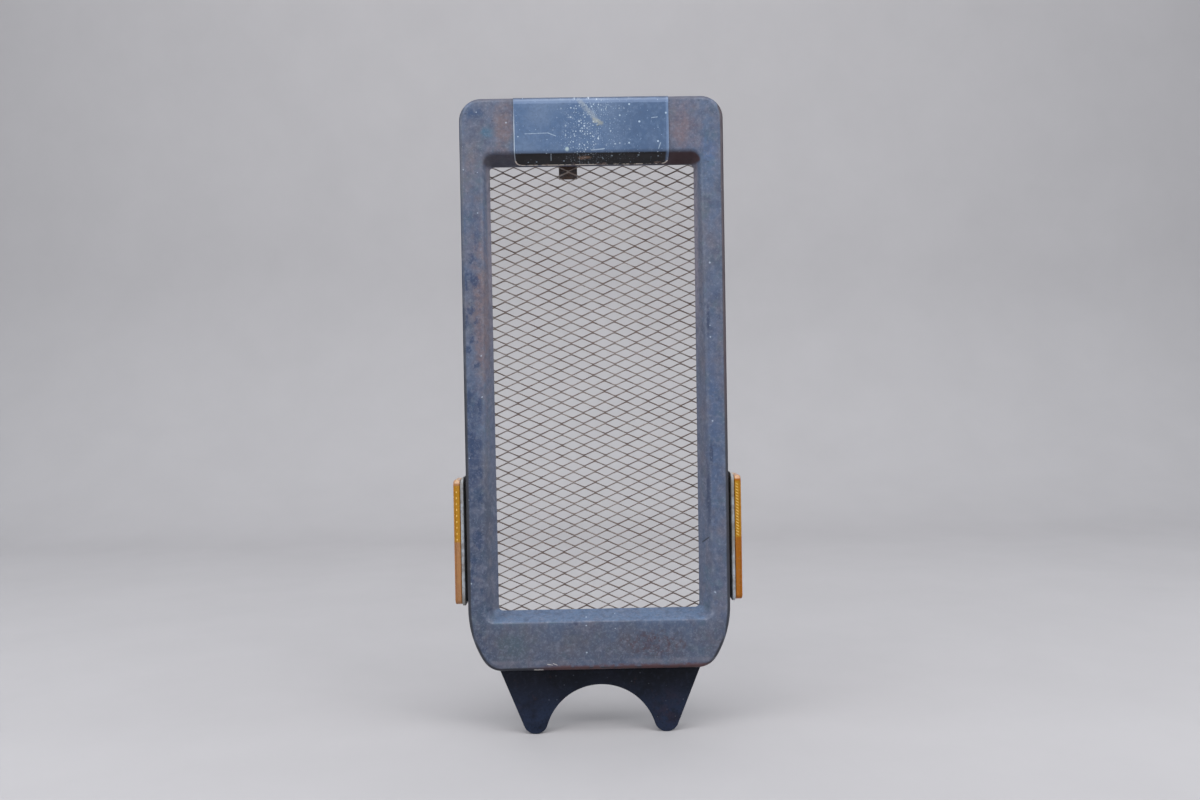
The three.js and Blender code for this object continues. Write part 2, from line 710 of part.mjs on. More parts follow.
function grommet(x, z) {
  const bore = COLLAR_RADIUS + GAP;
  const groove = TAB_HOLE - GAP;
  const front = TAB_REAR - SHEET - GAP;
  const rear = TAB_REAR + GAP;
  return turned([
    [bore, front - 2.4],
    [GROMMET_FLANGE - 0.6, front - 2.4],
    [GROMMET_FLANGE, front - 1.8],
    [GROMMET_FLANGE, front],
    [groove, front],
    [groove, rear],
    [GROMMET_FLANGE, rear],
    [GROMMET_FLANGE, rear + 0.8],
    [GROMMET_FLANGE - 0.6, rear + 1.4],
    [bore, rear + 1.4],
    [bore, front - 2.4],
  ], x, z);
}

// Steel collar through the grommet. Its rear end is flush with the rear edge of the skirt.
function collar(x, z) {
  const grommetFront = TAB_REAR - SHEET - GAP - 2.4;
  const flangeRear = grommetFront - GAP;
  return turned([
    [COLLAR_BORE, flangeRear - 1],
    [GROMMET_FLANGE, flangeRear - 1],
    [GROMMET_FLANGE, flangeRear],
    [COLLAR_RADIUS, flangeRear],
    [COLLAR_RADIUS, BODY_DEPTH],
    [COLLAR_BORE, BODY_DEPTH],
    [COLLAR_BORE, flangeRear - 1],
  ], x, z);
}

function addMounts() {
  const heights = { upper: TOP - UPPER_TAB_BELOW_TOP, lower: CHIN + LOWER_TAB_ABOVE_CHIN };
  const sides = { left: -1, right: 1 };
  for (const [level, z] of Object.entries(heights)) {
    for (const [side, direction] of Object.entries(sides)) {
      const x = direction * (HALF_WIDTH - TAB_FROM_SIDE);
      const place = `${level}_${side}`;
      addPiece(grille, `mount_tab_${place}`, mountTab(direction, x, z), RUSTY_STEEL);
      addPiece(grille, `mount_grommet_${place}`, grommet(x, z), BLACK_RUBBER);
      addPiece(grille, `mount_collar_${place}`, collar(x, z), ZINC_STEEL);
    }
  }
}

// Bracket under the top wall. Its tongue hangs down behind the mesh.
function topHanger() {
  const wall = TOP - SHEET - GAP;
  const half = HANGER_WIDTH / 2;
  const tongue = box(
    [HANGER_OFFSET - half, HANGER_OFFSET + half],
    [HANGER_DEPTH, HANGER_DEPTH + SHEET],
    [OPENING_TOP - HANGER_BELOW_OPENING, wall],
  );
  const foot = box(
    [HANGER_OFFSET - half - 4, HANGER_OFFSET + half + 4],
    [HANGER_DEPTH, HANGER_DEPTH + 12],
    [wall - SHEET, wall],
  );
  const hole = pin(2.6, HANGER_DEPTH - 1, HANGER_DEPTH + 2, HANGER_OFFSET, wall - 20, 10);
  return toGeometry(toSolid(tongue).add(toSolid(foot)).subtract(toSolid(hole)));
}

// ---------------------------------------------------------------- assembly

addPiece(grille, 'grille_shell', grilleShell(), FADED_PAINT);
addPiece(grille, 'mesh_screen', meshScreen(), RUSTY_STEEL);
addRetainers();
addMeshRivets();
addPiece(grille, 'badge_plate', badgePlate(), BADGE_PAINT);
addPiece(grille, 'apron_plate', apronPlate(), APRON_PAINT);
addApronRivets();
addReflector('left', -1);
addReflector('right', 1);
addMounts();
addPiece(grille, 'top_hanger_bracket', topHanger(), RUSTY_STEEL);

export default grille;
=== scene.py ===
import math
import random

import bmesh
import bpy
from mathutils import Matrix, Vector, noise


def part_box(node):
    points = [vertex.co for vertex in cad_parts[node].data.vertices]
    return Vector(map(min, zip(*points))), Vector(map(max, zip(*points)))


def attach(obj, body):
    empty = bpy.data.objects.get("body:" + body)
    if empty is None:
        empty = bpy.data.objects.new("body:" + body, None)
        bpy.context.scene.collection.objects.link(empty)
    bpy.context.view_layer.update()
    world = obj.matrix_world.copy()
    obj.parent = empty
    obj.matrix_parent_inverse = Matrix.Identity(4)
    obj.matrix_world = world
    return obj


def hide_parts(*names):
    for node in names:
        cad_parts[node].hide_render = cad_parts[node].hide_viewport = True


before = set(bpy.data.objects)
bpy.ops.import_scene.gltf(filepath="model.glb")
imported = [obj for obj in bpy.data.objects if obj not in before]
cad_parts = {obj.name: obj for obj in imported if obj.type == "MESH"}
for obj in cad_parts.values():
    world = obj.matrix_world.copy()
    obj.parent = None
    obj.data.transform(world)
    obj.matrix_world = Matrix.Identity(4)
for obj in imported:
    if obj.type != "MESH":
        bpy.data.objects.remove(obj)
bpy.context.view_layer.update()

# Looks of a motorcycle radiator grille. Metres, +Z up, -Y to the front.

MM = 0.001
scene = bpy.context.scene

# ------------------------------------------------------------------ sizes, from the frame

SHELL_LOW, SHELL_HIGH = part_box("grille_shell")
MESH_LOW, MESH_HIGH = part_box("mesh_screen")
FRONT = SHELL_LOW.y
HALF_WIDTH = SHELL_HIGH.x
TOP = SHELL_HIGH.z
CHIN = SHELL_LOW.z
DEPTH = SHELL_HIGH.y - SHELL_LOW.y

SHEET = 1.2 * MM
EDGE_RADIUS = 3.5 * MM
CORNER_RADIUS = 15.5 * MM
HIP_RADIUS = 69 * MM
HIP_ANGLE = math.radians(31.5)

# Insets of the opening from the body's edges, at the face and at the mesh.
# The opening's lower end is wider than its upper end by `spread` on each side.
FACE_OPENING = {"side": 16.3 * MM, "spread": 4.4 * MM, "top": 38.2 * MM, "bottom": 34.7 * MM,
                "radius": 6.5 * MM}
MESH_OPENING = {"side": 19.8 * MM, "spread": -0.8 * MM, "top": 45.3 * MM, "bottom": 40.1 * MM,
                "radius": 3 * MM}
WALL_DEPTH = 15.2 * MM
LIP_WIDTH = 10.8 * MM
# How far outside the opening the face starts to turn in, at its sides, top and bottom.
SOFT_EDGE = (2.6 * MM, 1.5 * MM, 1.3 * MM)
# The share of the opening's wall that its rounded edge takes up.
WALL_SHARE = 0.2

LENS_LOW, LENS_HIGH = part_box("reflector_lens_left")
LENS_MIDDLE = (LENS_LOW.z + LENS_HIGH.z) / 2
LENS_INNER, LENS_OUTER = sorted((abs(LENS_LOW.x), abs(LENS_HIGH.x)))
# The field of prisms on the lenses, above their middle.
PRISM_LOW, PRISM_HIGH = 1.0 * MM, 39.5 * MM


def lerp(a, b, t):
    return a + (b - a) * t


# ------------------------------------------------------------------ mesh helpers


def merge_points(mesh, distance):
    """Joins points that lie this close together, and turns all faces outwards."""
    build = bmesh.new()
    build.from_mesh(mesh)
    bmesh.ops.remove_doubles(build, verts=build.verts, dist=distance)
    bmesh.ops.recalc_face_normals(build, faces=build.faces)
    build.to_mesh(mesh)
    build.free()


def make_object(name, vertices, faces):
    mesh = bpy.data.meshes.new(name)
    mesh.from_pydata([tuple(v) for v in vertices], [], faces)
    obj = bpy.data.objects.new(name, mesh)
    scene.collection.objects.link(obj)
    merge_points(mesh, 1e-7)
    return obj


def mark_points(obj, name, values):
    """Gives every point of a mesh a number that its material reads."""
    obj.data.attributes.new(name, "FLOAT", "POINT").data.foreach_set("value", values)


def shade(obj, angle=35):
    for polygon in obj.data.polygons:
        polygon.use_smooth = True
    obj.data.set_sharp_from_angle(angle=math.radians(angle))


def settle(obj, angle=35):
    """Turns the modifiers' result into the piece's own mesh and shades it."""
    graph = bpy.context.evaluated_depsgraph_get()
    result = bpy.data.meshes.new_from_object(obj.evaluated_get(graph))
    obj.modifiers.clear()
    obj.data = result
    shade(obj, angle)


def round_edges(obj, width, segments=2, angle=40):
    modifier = obj.modifiers.new("round", "BEVEL")
    modifier.width = width
    modifier.segments = segments
    modifier.limit_method = "ANGLE"
    modifier.angle_limit = math.radians(angle)
    modifier.use_clamp_overlap = True


def make_sheet(obj, polygon, thickness, to_back, edge, segments, edge_angle, angle):
    """Gives a surface a sheet's thickness, to its back or its front, and rounds the sheet's edges."""
    faces_front = obj.data.polygons[polygon].normal.y < 0
    modifier = obj.modifiers.new("sheet", "SOLIDIFY")
    modifier.thickness = thickness
    modifier.offset = -1 if faces_front == to_back else 1
    modifier.use_even_offset = True
    round_edges(obj, edge, segments, edge_angle)
    settle(obj, angle)


def join_loops(loops, closed=False, caps=False):
    """Vertices and faces of a surface through loops that have equal numbers of points."""
    count = len(loops[0])
    vertices = [point for loop in loops for point in loop]
    faces = []
    last = len(loops) if closed else len(loops) - 1
    for ring in range(last):
        base = ring * count
        over = (ring + 1) % len(loops) * count
        for step in range(count):
            after = (step + 1) % count
            faces.append((base + step, base + after, over + after, over + step))
    if caps:
        faces.append(tuple(range(count)))
        faces.append(tuple(range((len(loops) - 1) * count, len(loops) * count)))
    return vertices, faces


AXES = {"X": Vector((1, 0, 0)), "Y": Vector((0, 1, 0)), "Z": Vector((0, 0, 1))}


def box_mm(node):
    """A node's lowest and highest corners in millimetres."""
    return [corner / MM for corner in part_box(node)]


def grid_faces(start, rows, columns):
    """Faces between the points of a grid, row by row, from the point with the number `start`."""
    faces = []
    for row in range(rows):
        for column in range(columns):
            a = start + row * (columns + 1) + column
            faces.append((a, a + 1, a + columns + 2, a + columns + 1))
    return faces


def turned(name, profile, centre, axis="Y", segments=40, closed=True):
    """A turned piece. Its profile lists (radius, place along the axis), all in millimetres."""
    first, second, along = {"X": "YZX", "Y": "ZXY", "Z": "XYZ"}[axis]
    loops = []
    for radius, place in profile:
        loop = []
        for step in range(segments):
            turn = step / segments * math.tau
            out = AXES[first] * math.cos(turn) + AXES[second] * math.sin(turn)
            loop.append((centre + out * radius + AXES[along] * place) * MM)
        loops.append(loop)
    obj = make_object(name, *join_loops(loops, closed=closed))
    shade(obj, 30)
    return obj


def add(obj, slot_name, *nodes):
    """Gives a piece its finish, and lets it stand for its CAD nodes."""
    obj.data.materials.clear()
    obj.data.materials.append(MATERIALS[slot_name])
    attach(obj, "root")
    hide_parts(*nodes)


def arc(centre, radius, start, end, count):
    """Points of an arc in degrees, without its last point."""
    points = []
    for step in range(count):
        turn = math.radians(lerp(start, end, step / count))
        points.append((centre[0] + radius * math.cos(turn), centre[1] + radius * math.sin(turn)))
    return points


def line(start, end, count):
    """Points of a line, without its last point."""
    return [(lerp(start[0], end[0], k / count), lerp(start[1], end[1], k / count)) for k in range(count)]


# ------------------------------------------------------------------ materials


def srgb(red, green, blue):
    """A colour from 0 to 255 as linear values."""
    def linear(value):
        value /= 255
        return value / 12.92 if value <= 0.04045 else ((value + 0.055) / 1.055) ** 2.4
    return (linear(red), linear(green), linear(blue), 1)


class Finish:
    """A node material whose colour is built up in layers. Its lengths are in millimetres."""

    def __init__(self, name, metallic=0.0):
        self.material = bpy.data.materials.new(name)
        self.material.use_nodes = True
        self.nodes = self.material.node_tree.nodes
        self.links = self.material.node_tree.links
        self.shader = self.nodes["Principled BSDF"]
        self.shader.inputs["Metallic"].default_value = metallic
        self.place = self.nodes.new("ShaderNodeTexCoord").outputs["Object"]
        self.metres = self.node("SeparateXYZ", {0: self.place}).outputs
        self.result = None

    def feed(self, socket, value):
        if isinstance(value, bpy.types.NodeSocket):
            self.links.new(value, socket)
        else:
            socket.default_value = value

    def node(self, kind, inputs, **settings):
        """A new node with its settings made and its inputs fed."""
        node = self.nodes.new("ShaderNode" + kind)
        for key, value in settings.items():
            setattr(node, key, value)
        for key, value in inputs.items():
            self.feed(node.inputs[key], value)
        return node

    def math(self, operation, a, b=0.0):
        return self.node("Math", {0: a, 1: b}, operation=operation).outputs[0]

    def vector(self, operation, a, b=(0, 0, 0)):
        node = self.node("VectorMath", {0: a, 1: b}, operation=operation)
        return node.outputs["Value" if operation in ("LENGTH", "DOT_PRODUCT") else "Vector"]

    def times(self, *values):
        result = values[0]
        for value in values[1:]:
            result = self.math("MULTIPLY", result, value)
        return result

    def inverse(self, value):
        return self.math("SUBTRACT", 1.0, value)

    def offset(self, axis, start=0.0, sign=1):
        """Millimetres along an axis from a place that is given in metres."""
        return self.times(self.math("SUBTRACT", self.metres[axis], start), sign / MM)

    def ramp(self, value, low, high, out_low=0.0, out_high=1.0):
        """Goes smoothly from `out_low` where the value is `low` to `out_high` where it is `high`."""
        inputs = {"Value": value, "From Min": low, "From Max": high, "To Min": out_low, "To Max": out_high}
        return self.node("MapRange", inputs, interpolation_type="SMOOTHSTEP").outputs["Result"]

    def band(self, value, low, high, soft):
        """1 between two limits, fading to 0 over `soft` outside them."""
        return self.times(self.ramp(value, low - soft, low), self.ramp(value, high + soft, high))

    def noise(self, size, seed=0, detail=4.0, rough=0.6, tall=1.0):
        """Noise whose features are about `size` across and `tall` times as high."""
        scale = 1 / (size * MM)
        inputs = {"Vector": self.place, "Scale": (scale, scale, scale / tall),
                  "Location": (seed * 3.7, seed * 1.9, seed * 5.3)}
        place = self.node("Mapping", inputs).outputs[0]
        inputs = {"Vector": place, "Scale": 1.0, "Detail": detail, "Roughness": rough}
        return self.node("TexNoise", inputs).outputs["Fac"]

    def shaken(self, value, amount, *noise_settings):
        """A value with noise added to it."""
        wave = self.times(self.math("SUBTRACT", self.noise(*noise_settings), 0.5), amount)
        return self.math("ADD", value, wave)

    def patches(self, size, cover, seed=0, edge=0.06, detail=4.0, rough=0.6, tall=1.0):
        """Irregular patches that cover about that share of the surface."""
        middle = 0.5 + (0.5 - cover) * 0.36
        return self.ramp(self.noise(size, seed, detail, rough, tall), middle - edge, middle + edge)

    def specks(self, spacing, size, share, seed=0):
        """Round dots on the front: their spacing and largest radius, and the share of places that has one."""
        across = self.math("ADD", self.metres["X"], seed * 0.013)
        along = self.math("SUBTRACT", self.metres["Z"], self.metres["Y"])
        flat = self.node("CombineXYZ", {0: across, 1: along}).outputs[0]
        inputs = {"Vector": flat, "Scale": 1 / (spacing * MM)}
        cells = self.node("TexVoronoi", inputs, voronoi_dimensions="2D")
        chance = self.node("SeparateColor", {0: cells.outputs["Color"]}).outputs
        radius = self.ramp(chance["Green"], 0, 1, 0.35 * size / spacing, size / spacing)
        near = self.math("SUBTRACT", radius, cells.outputs["Distance"])
        chosen = self.math("LESS_THAN", chance["Red"], share)
        return self.times(self.ramp(near, 0, 0.35 * size / spacing), chosen)

    def spot(self, centre, radii, ragged=0.0, inner=0.35, back=0.0):
        """1 inside a soft ellipsoid and 0 outside. `ragged` breaks up its edge.

        Its centre is given across and up from the chin, and `back` from the front face."""
        middle = (centre[0] * MM, FRONT + back * MM, CHIN + centre[1] * MM)
        from_middle = self.vector("SUBTRACT", self.place, middle)
        length = self.vector("LENGTH", self.vector("DIVIDE", from_middle, [radius * MM for radius in radii]))
        if ragged:
            length = self.shaken(length, ragged, 7, 2, 5, 0.65)
        return self.ramp(length, 1.0, inner)

    def scratch(self, start, end, width, ragged=0.5):
        """A line on the front between two places, given across and up from the chin."""
        first, last = [Vector((x * MM, 0, CHIN + up * MM)) for x, up in (start, end)]
        whole = last - first
        flat = self.vector("MULTIPLY", self.place, (1, 0, 1))
        from_first = self.vector("SUBTRACT", flat, tuple(first))
        along = self.vector("DOT_PRODUCT", from_first, tuple(whole))
        share = self.math("DIVIDE", along, whole.length_squared)
        share = self.math("MINIMUM", self.math("MAXIMUM", share, 0), 1)
        nearest = self.node("VectorMath", {0: tuple(whole), "Scale": share}, operation="SCALE").outputs[0]
        gap = self.vector("LENGTH", self.vector("SUBTRACT", from_first, nearest))
        gap = self.shaken(self.times(gap, 1 / MM), width * ragged * 2, 1.2, 1)
        return self.ramp(gap, width, width * 0.3)

    def attribute(self, name):
        return self.node("Attribute", {}, attribute_name=name).outputs["Fac"]

    def blend(self, factor, a, b):
        return self.node("Mix", {0: factor, 6: a, 7: b}, data_type="RGBA").outputs[2]

    def base(self, factor, a, b):
        self.result = self.blend(factor, srgb(*a), srgb(*b))

    def layer(self, masks, strength, colour):
        """Lays a colour over what is there where the mask, or the product of several masks, is 1."""
        several = masks if isinstance(masks, tuple) else (masks,)
        self.result = self.blend(self.times(*several, strength), self.result, srgb(*colour))

    def mottle(self, *rows):
        """Layers of patches. Each row has their settings, the strength and the colour."""
        for settings, strength, colour in rows:
            self.layer(self.patches(*settings), strength, colour)

    def done(self, low_rough, high_rough, rough_size, relief_size, relief):
        """Feeds the shader: the limits and size of the roughness, and the size and height of the relief."""
        height = self.noise(relief_size, 6, 6, 0.65)
        bump = self.node("Bump", {"Strength": 0.4, "Distance": relief * MM, "Height": height})
        rough = self.ramp(self.noise(rough_size, 5), 0.3, 0.7, low_rough, high_rough)
        self.feed(self.shader.inputs["Base Color"], self.result)
        self.feed(self.shader.inputs["Roughness"], rough)
        self.feed(self.shader.inputs["Normal"], bump.outputs[0])
        return self.material


def faded_paint():
    """Black paint faded to blue-grey and mauve, with brown haze, dark blotches and a rusty lower edge."""
    look = Finish("faded_paint")
    layer, ramp, times, patches = look.layer, look.ramp, look.times, look.patches
    spot, specks, scratch = look.spot, look.specks, look.scratch
    x = look.offset("X")
    inset = look.math("SUBTRACT", HALF_WIDTH / MM, look.math("ABSOLUTE", x))
    back = look.offset("Y", FRONT)
    up = look.offset("Z", CHIN)
    down = look.offset("Z", TOP, -1)
    look.base(patches(38, 0.5, 1, 0.14, 3, 0.5, 1.6), (80, 95, 121), (90, 94, 110))
    look.mottle(((15, 0.42, 2, 0.1, 3, 0.55, 1.5), 0.55, (76, 94, 122)),
                ((13, 0.34, 3, 0.1, 3, 0.55, 1.4), 0.5, (100, 94, 104)),
                ((9, 0.25, 4, 0.08, 4), 0.5, (72, 94, 108)))
    hazes = [
        # Brown, along the inner part of the left bar, beside the plate and on the lower bar.
        ((-78.2, 251.9), (9, 40, 90), 0.8, (112, 94, 96)),
        ((-77.2, 116.9), (7, 40, 75), 0.55, (92, 88, 94)),
        ((75.2, 171.9), (5, 40, 160), 0.35, (88, 82, 90)),
        ((66, 378), (15, 30, 24), 0.85, (108, 94, 102)),
        ((-61, 380), (10, 30, 26), 0.85, (108, 94, 98)),
        ((-84, 355), (8, 30, 24), 0.6, (106, 97, 102)),
        ((28, 18), (44, 30, 15), 0.6, (78, 74, 80)),
        ((-16, 20), (22, 30, 13), 0.45, (84, 84, 88)),
        ((-60, 19), (19, 30, 16), 0.6, (64, 88, 96)),
        # Bluer places.
        ((-80, 389), (12, 30, 8), 0.9, (48, 70, 104)),
        ((-73, 376), (7, 30, 7), 0.85, (62, 100, 126)),
        ((82, 362), (7, 30, 15), 0.7, (74, 98, 138)),
        ((-86, 151.9), (8, 30, 62), 0.85, (44, 62, 94)),
        ((82, 171.9), (8, 30, 120), 0.65, (64, 84, 118)),
        ((0, 9), (90, 30, 9), 0.35, (62, 72, 94)),
    ]
    for centre, radii, strength, tint in hazes:
        layer(spot(centre, radii, 1.7, 0.1), strength, tint)
    # The lower bar is darker, up to the slope into the opening, which gets a pale blue painted highlight
    # where it faces up to the light.
    layer((ramp(up, 36, 31), ramp(up, 0, 6)), 0.32, (48, 54, 68))
    layer((look.band(up, 35, 41, 1), ramp(inset, 16, 20)), 0.75, (92, 113, 142))
    # Painted light: the opening's side slopes are evened out to the face's tone and made lighter higher up,
    # against their shade.
    side_slope_light = times(ramp(inset, 17.4, 18.6), ramp(up, 40, 46), ramp(down, 43, 48))
    layer(side_slope_light, 0.55, (90, 95, 114))
    layer((side_slope_light, ramp(up, 201.9, 291.9)), 0.75, (128, 120, 130))
    # Dark blue blotches down the outer half of the left bar.
    outer_left = times(ramp(x, -77, -82), ramp(up, 351.9, 281.9), ramp(up, 31.9, 71.9))
    layer((patches(8, 0.4, 6, 0.05, 5, 0.62, 1.5), outer_left), 0.85, (34, 54, 88))
    low_left = times(ramp(x, -62, -82), ramp(up, 151.9, 111.9))
    layer((patches(8, 0.55, 7, 0.09, 3), low_left), 0.6, (40, 58, 84))
    layer((patches(7, 0.3, 8, 0.09, 3), ramp(x, 74, 84)), 0.4, (52, 68, 98))
    marks = [(-77, 43, 2.6, 1.4), (-84, 26, 2.8, 2.2), (-81, 17, 3.2, 2.4), (-17.5, 33, 3.2, 2.4),
             (-86, 50, 2.5, 2.5), (79, 243, 2, 16), (78, 120, 2.2, 30), (80, 150, 1.8, 12)]
    for across, high, half, tall in marks:
        layer(spot((across, high), (half, 20, tall), 0.9, 0.3), 0.75, (38, 50, 78))
    # Rust speckles on the right of the lower bar.
    rusty = spot((38, 18), (30, 30, 13), 1.4, 0.1)
    layer((patches(2.8, 0.46, 9, 0.05, 4, 0.65), rusty), 0.75, (66, 42, 50))
    # Fine mottling everywhere.
    look.mottle(((5, 0.34, 10, 0.09, 4), 0.42, (56, 66, 90)),
                ((3.6, 0.3, 11, 0.09, 4), 0.34, (120, 124, 140)),
                ((1.8, 0.36, 12, 0.1, 3), 0.26, (62, 68, 84)),
                ((1.4, 0.2, 13, 0.08, 3), 0.24, (134, 142, 160)))
    layer(specks(10, 0.75, 0.12), 0.7, (170, 182, 198))
    layer(specks(6, 0.7, 0.14, 3), 0.5, (48, 54, 72))
    # Painted shade: the downward face of the top bar's inner edge is painted brown-black where it faces away
    # from the light, reddish brown towards the right.
    top_bevel_shade = times(ramp(back, 0.6, 3), ramp(down, 46.5, 44), ramp(down, 36, 37.5), ramp(inset, 10.8, 13.8))
    layer(top_bevel_shade, 0.65, (56, 48, 52))
    layer((top_bevel_shade, ramp(x, 40, 60)), 0.85, (58, 32, 34))
    # Painted shade: the rounded outer edges and the skirt are painted dark, less so at the upper left and
    # brownish on the right.
    turn = ramp(back, 0.01, 0.45)
    rim = look.math("MAXIMUM", ramp(inset, 5, 2.6), ramp(up, 26, 16))
    upper_left = times(ramp(x, -40, -60), ramp(up, 171.9, 291.9, 0, 0.55))
    edge = times(turn, rim, look.inverse(upper_left))
    layer(edge, 0.9, (25, 26, 34))
    layer((edge, ramp(x, 0, 20), ramp(up, 131.9, 211.9)), 0.6, (68, 50, 58))
    # Painted shade, darker still along the lower outer edges.
    layer((ramp(up, 110, 60), ramp(back, 0.05, 0.4), rim), 0.55, (30, 34, 48))
    # Darker along the rounding over the top edge.
    layer((turn, ramp(down, 4, 2)), 0.5, (66, 62, 72))
    worn = times(patches(20, 0.45, 14), ramp(back, 3, 6), ramp(inset, 9, 6))
    layer(worn, 0.5, (60, 52, 54))
    # Rust and chips along the lower edge.
    creep = look.shaken(up, 4.5, 9, 15, 5, 0.7)
    low_edge = times(ramp(creep, 5.0, 2.6), ramp(x, -56, -22))
    layer((low_edge, patches(6, 0.75, 18, 0.1)), 0.9, (80, 50, 52))
    # Painted highlight: a pale band just above the lower edge's rounding.
    layer((look.band(creep, 5.6, 7.2, 1.2), patches(14, 0.6, 16)), 0.3, (112, 110, 122))
    chips = [((-46, 0.9), (-40.5, 0.8), 0.8), ((-37, 4.9), (-33.4, 4.3), 0.34), ((-33, 5.4), (-30, 4.2), 0.3)]
    for start, end, width in chips:
        layer(scratch(start, end, width, 0.8), 0.85, (196, 190, 186))
    layer(scratch((74, 87), (77.5, 91), 0.55), 0.85, (30, 34, 44))
    # Bare, rusty inside of the pressing.
    inside = look.attribute("bare")
    layer(inside, 0.92, (58, 52, 54))
    layer((inside, patches(11, 0.4, 17, 0.08, 6, 0.7)), 0.8, (98, 68, 54))
    return look.done(0.42, 0.62, 12, 3, 0.3)


def badge_paint():
    """Smooth blue-grey plate with splashed specks, a streak of old tape and fine scratches."""
    look = Finish("badge_paint")
    layer, ramp, times, patches = look.layer, look.ramp, look.times, look.patches
    spot, specks, scratch = look.spot, look.specks, look.scratch
    x = look.offset("X")
    down = look.offset("Z", TOP, -1)
    look.base(patches(34, 0.5, 1, 0.12, 3, 0.5), (78, 101, 134), (92, 112, 141))
    layer(ramp(x, 5, 30), 0.7, (66, 88, 120))
    look.mottle(((3, 0.35, 2, 0.08), 0.3, (106, 126, 154)), ((1.5, 0.3, 3, 0.08), 0.3, (68, 84, 110)))
    # Painted shade: the part that turns down into the opening is painted near black, where it faces down away
    # from the light.
    lip = times(ramp(look.offset("Y", FRONT), -0.1, 0.9), ramp(down, 20, 28), ramp(x, 52.6, 51, 0.25, 1))
    layer(lip, 1, (9, 11, 17))
    layer((lip, patches(5, 0.4, 4)), 0.5, (32, 28, 34))
    # Its rim is pale: rubbed paint with a painted highlight, whiter towards the left and lower end, and a
    # broader bluish painted highlight along the right.
    rim = look.shaken(look.attribute("rim"), 0.5, 3, 5)
    outer = times(ramp(down, 6, 20, 0.1, 1), ramp(x, 10, -10, 0.1, 1))
    layer((ramp(rim, 0.75, 0.35), outer), 0.75, (188, 200, 214))
    inner = times(ramp(x, 0, 20), look.inverse(lip))
    layer((ramp(rim, 2.2, 1.2), inner), 0.38, (128, 150, 184))
    # Painted highlight along the top rounding, with a dark strip along the very top edge.
    crest = look.shaken(down, -1.2, 4, 6)
    layer(look.band(crest, 2.6, 4.4, 0.8), 0.35, (140, 160, 192))
    layer(ramp(crest, 1.9, 0.9), 0.75, (54, 62, 80))
    # Peeled rim along the lower end.
    peel = times(ramp(rim, 1.25, 0.8), ramp(down, 41, 42.5), patches(5, 0.56, 7, 0.04))
    layer(peel, 0.95, (216, 204, 190))
    flake = times(ramp(rim, 3.4, 2.6), ramp(down, 40, 41), patches(7, 0.22, 8, 0.03))
    layer(flake, 0.75, (112, 92, 84))
    layer(spot((-5, 358.5), (6, 9, 1.4), 1.1), 0.75, (172, 136, 112))
    # Specks, thickest left of the middle.
    crowd = spot((1, 380), (36, 60, 46), 0.5, 0.1)
    column = spot((-6, 374), (17, 60, 34), 0.8, 0.2)
    layer((specks(1.35, 0.36, 0.5, 1), crowd), 0.7, (158, 178, 200))
    layer((specks(1.9, 0.55, 0.5, 2), column), 0.85, (190, 204, 216))
    layer((specks(3.1, 0.75, 0.34, 4), crowd), 0.85, (186, 200, 214))
    layer(specks(6.5, 0.85, 0.22, 6), 0.8, (176, 194, 212))
    layer(specks(2.4, 0.4, 0.15, 9), 0.55, (150, 170, 194))
    # A strip of old tape, its yellowed end, and scratches.
    torn = patches(2.6, 0.72, 10, 0.12, 4)
    layer((scratch((-8, 397), (4, 383), 2.4, 0.8), torn), 0.6, (148, 157, 166))
    layer((scratch((1.8, 383.4), (6.8, 381), 2.2, 0.9), torn), 0.6, (152, 154, 142))
    layer(spot((4.6, 379.6), (1.3, 9, 0.8), 0.5), 0.7, (52, 60, 62))
    near_top = spot((4, 392), (12, 60, 9), 0.6, 0.2)
    layer((specks(1.7, 0.5, 0.6, 11), near_top), 0.8, (190, 204, 216))
    layer(spot((-17, 363.5), (2.0, 9, 2.2), 1.0), 0.75, (178, 196, 198))
    scratches = [((-46, 374.4), (-30, 374.8), 0.34), ((-30, 374.8), (-24.5, 372.6), 0.36),
                 ((48, 367), (46.5, 363), 0.4), ((-28.2, 360.6), (-28.4, 357.6), 0.45),
                 ((0, 362.6), (9, 363.4), 0.5), ((42, 384.4), (46, 384.8), 0.4)]
    for start, end, width in scratches:
        layer(scratch(start, end, width, 0.8), 0.6, (176, 192, 208))
    return look.done(0.30, 0.44, 14, 2, 0.12)


def apron_paint():
    """Dark navy paint, dusty and rubbed towards the ears, where it is lighter; the lightening is also painted
    shade that keeps the top under the chin darker.
    """
    look = Finish("apron_paint")
    look.base(look.patches(26, 0.5, 1, 0.1), (10, 15, 26), (17, 21, 34))
    # Lighter towards the ears: partly bluish haze, partly painted shade that leaves the top under the chin
    # darker.
    tips = look.ramp(look.offset("Z", CHIN), -6, -42.1)
    look.layer((tips, look.patches(16, 0.6, 2, 0.12)), 0.8, (34, 45, 68))
    right = look.spot((48, -32.1), (14, 40, 20), 1.4, 0.1, -FRONT / MM)
    look.layer((right, look.patches(5, 0.5, 3, 0.09)), 0.6, (44, 36, 48))
    look.mottle(((3.5, 0.3, 4, 0.07), 0.3, (36, 42, 58)), ((1.6, 0.3, 5, 0.07), 0.35, (10, 12, 20)))
    look.layer(look.specks(6, 0.6, 0.2, 2), 0.45, (84, 88, 98))
    look.mottle(((7, 0.12, 6, 0.04, 5, 0.7), 0.35, (50, 36, 38)))
    look.shader.inputs["Specular IOR Level"].default_value = 0.18
    return look.done(0.42, 0.6, 12, 2.6, 0.25)


